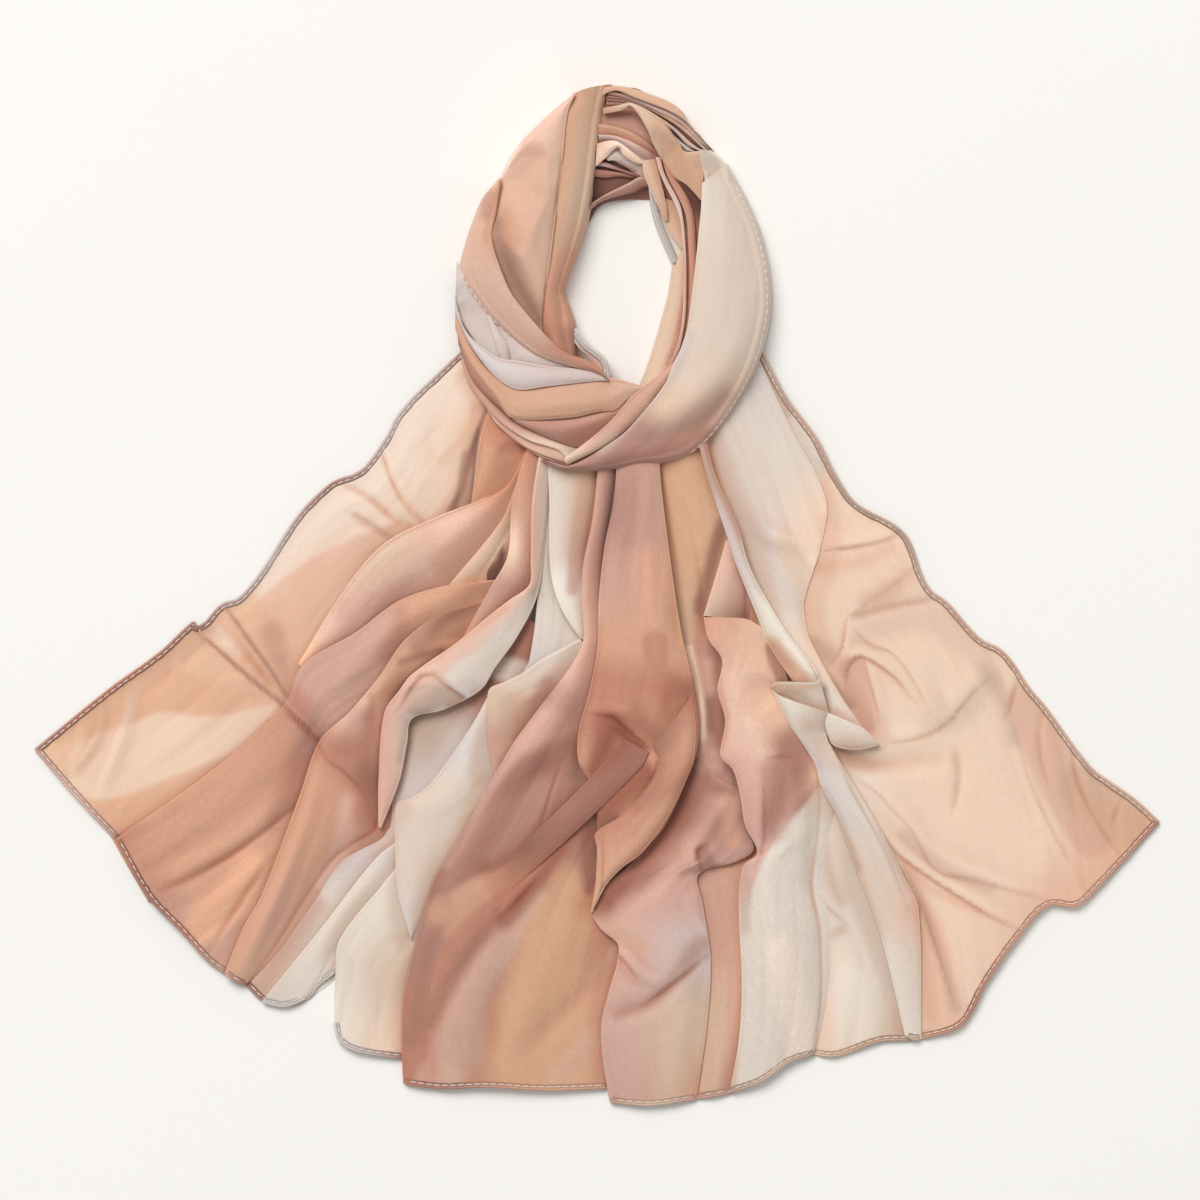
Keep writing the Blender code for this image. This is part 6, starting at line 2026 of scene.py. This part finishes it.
class ScarfStage(bpy.types.PropertyGroup):
    """The surface, the lights and the camera."""

    floor_colour: bpy.props.FloatVectorProperty(
        name="Floor", description="Colour of the surface that the scarf lies on",
        subtype="COLOR", size=3, default=(0.925, 0.915, 0.895), min=0, max=1,
    )
    key_power: bpy.props.FloatProperty(
        name="Key light", description="Power of the large soft light", default=1215.0, unit="POWER"
    )
    fill_strength: bpy.props.FloatProperty(
        name="Fill", description="Strength of the light from all sides", default=0.5
    )
    camera_height: bpy.props.FloatProperty(
        name="Camera height", description="Height of the camera over the surface",
        default=6.0, unit="LENGTH",
    )


LAID = {}


def shells():
    """Every fold's shell, laid once for all the operators."""
    step = bpy.context.scene.scarf_sizes.grid_step / MM
    if LAID.get("step") != step:
        LAID.clear()
        LAID.update(step=step, shells=lay_all(step))
    return LAID["shells"]


def add_group(starts):
    """Adds the folds whose names start so."""
    for name, shell in shells().items():
        if name.startswith(starts):
            add_fold(shell)


class SCARF_OT_left_tail(bpy.types.Operator):
    """Lay the folds of the left tail"""

    bl_idname = "scarf.left_tail"
    bl_label = "Left tail"

    def execute(self, context):
        add_group(LEFT_TAIL)
        return {"FINISHED"}


class SCARF_OT_middle(bpy.types.Operator):
    """Lay the folds where the two tails overlap"""

    bl_idname = "scarf.middle"
    bl_label = "Middle folds"

    def execute(self, context):
        add_group(MIDDLE)
        return {"FINISHED"}


class SCARF_OT_right_tail(bpy.types.Operator):
    """Lay the folds of the right tail"""

    bl_idname = "scarf.right_tail"
    bl_label = "Right tail"

    def execute(self, context):
        add_group(RIGHT_TAIL)
        return {"FINISHED"}


class SCARF_OT_front_loop(bpy.types.Operator):
    """Wind the loop that crosses over the tails"""

    bl_idname = "scarf.front_loop"
    bl_label = "Front loop"

    def execute(self, context):
        add_group(FRONT_LOOP)
        return {"FINISHED"}


class SCARF_OT_drops(bpy.types.Operator):
    """Lay the strands that come down inside the loop"""

    bl_idname = "scarf.drops"
    bl_label = "Inner strands"

    def execute(self, context):
        add_group(INNER_STRANDS)
        return {"FINISHED"}


class SCARF_OT_neck(bpy.types.Operator):
    """Lay the layers behind the neck"""

    bl_idname = "scarf.neck"
    bl_label = "Neck layers"

    def execute(self, context):
        add_group(NECK_LAYERS)
        return {"FINISHED"}


class SCARF_OT_core(bpy.types.Operator):
    """Fill the ring with its hidden layers"""

    bl_idname = "scarf.core"
    bl_label = "Hidden layers"

    def execute(self, context):
        add_core()
        return {"FINISHED"}


class SCARF_OT_hems(bpy.types.Operator):
    """Roll the hems and sew them"""

    bl_idname = "scarf.hems"
    bl_label = "Hems and stitches"

    def execute(self, context):
        for hem in HEMS:
            shell = shells()[hem.fold]
            sizes = context.scene.scarf_sizes
            if hem.dyes:
                add_hem(shell, hem, sizes)
            add_stitches(shell, hem, sizes)
        return {"FINISHED"}


class SCARF_OT_stage(bpy.types.Operator):
    """Set the surface, the lights and the camera"""

    bl_idname = "scarf.stage"
    bl_label = "Stage"

    def execute(self, context):
        set_stage(context.scene)
        return {"FINISHED"}


def floor_material(colour):
    """The plain pale surface, a little uneven in tone."""
    material, tree = new_material("pale_floor", {"Roughness": 0.9, "Specular IOR Level": 0.1})
    place = add_node(tree, "TexCoord").outputs["Object"]
    cloud = add_node(tree, "TexNoise", {"Vector": place, "Scale": 2.0}).outputs["Fac"]
    darker = [part * FLOOR_TONE for part in colour]
    tone = add_ramp(tree, cloud, darker, colour)
    set_inputs(tree, tree.nodes["Principled BSDF"], {"Base Color": tone})
    return material


def add_key_light(scene, power):
    """The large soft light, turned to the scarf's middle."""
    light = bpy.data.lights.new("key", "AREA")
    light.shape = "DISK"
    light.size = KEY_SIZE
    light.energy = power
    light.color = KEY_COLOUR
    key = bpy.data.objects.new("key", light)
    scene.collection.objects.link(key)
    key.location = KEY_PLACE
    key.rotation_euler = (-Vector(KEY_PLACE)).to_track_quat("-Z", "Y").to_euler()


def set_stage(scene):
    """The surface, the lights and the camera straight above."""
    stage = scene.scarf_stage
    half = FLOOR_SIZE / 2
    corners = [(-half, -half, 0), (half, -half, 0), (half, half, 0), (-half, half, 0)]
    mesh = bpy.data.meshes.new(SUPPORT)
    mesh.from_pydata(corners, [], [(0, 1, 2, 3)])
    floor = bpy.data.objects.new(SUPPORT, mesh)
    scene.collection.objects.link(floor)
    mesh.materials.append(floor_material(stage.floor_colour))
    add_key_light(scene, stage.key_power)
    world = bpy.data.worlds.new("studio")
    world.use_nodes = True
    back = world.node_tree.nodes["Background"]
    back.inputs["Color"].default_value = (*FILL_COLOUR, 1)
    back.inputs["Strength"].default_value = stage.fill_strength
    scene.world = world
    lens = bpy.data.cameras.new("camera")
    lens.lens = lens.sensor_width * stage.camera_height / VIEW_WIDTH
    camera = bpy.data.objects.new("camera", lens)
    scene.collection.objects.link(camera)
    camera.location = (*VIEW_CENTRE, stage.camera_height)
    scene.camera = camera
    scene.view_settings.view_transform = "Standard"


class SCARF_PT_panel(bpy.types.Panel):
    """Lists the scarf's settings and the operators that lay its pieces"""

    bl_idname = "SCARF_PT_panel"
    bl_label = "Chiffon Scarf"
    bl_space_type = "VIEW_3D"
    bl_region_type = "UI"
    bl_category = "Chiffon Scarf"

    def draw(self, context):
        layout = self.layout
        for group in (context.scene.scarf_sizes, context.scene.scarf_stage):
            box = layout.box()
            for name in group.__annotations__:
                box.prop(group, name)
        for operator in OPERATORS:
            layout.operator(operator.bl_idname)


OPERATORS = (
    SCARF_OT_left_tail,
    SCARF_OT_middle,
    SCARF_OT_right_tail,
    SCARF_OT_front_loop,
    SCARF_OT_drops,
    SCARF_OT_neck,
    SCARF_OT_core,
    SCARF_OT_hems,
    SCARF_OT_stage,
)
CLASSES = (ScarfSizes, ScarfStage, *OPERATORS, SCARF_PT_panel)


def register():
    for item in CLASSES:
        bpy.utils.register_class(item)
    bpy.types.Scene.scarf_sizes = bpy.props.PointerProperty(type=ScarfSizes)
    bpy.types.Scene.scarf_stage = bpy.props.PointerProperty(type=ScarfStage)


def unregister():
    del bpy.types.Scene.scarf_sizes
    del bpy.types.Scene.scarf_stage
    for item in reversed(CLASSES):
        bpy.utils.unregister_class(item)


def main():
    register()
    bpy.ops.scarf.stage()
    bpy.ops.scarf.left_tail()
    bpy.ops.scarf.middle()
    bpy.ops.scarf.right_tail()
    bpy.ops.scarf.front_loop()
    bpy.ops.scarf.drops()
    bpy.ops.scarf.neck()
    bpy.ops.scarf.core()
    bpy.ops.scarf.hems()
    bpy.context.view_layer.update()


if __name__ == "__main__":
    main()
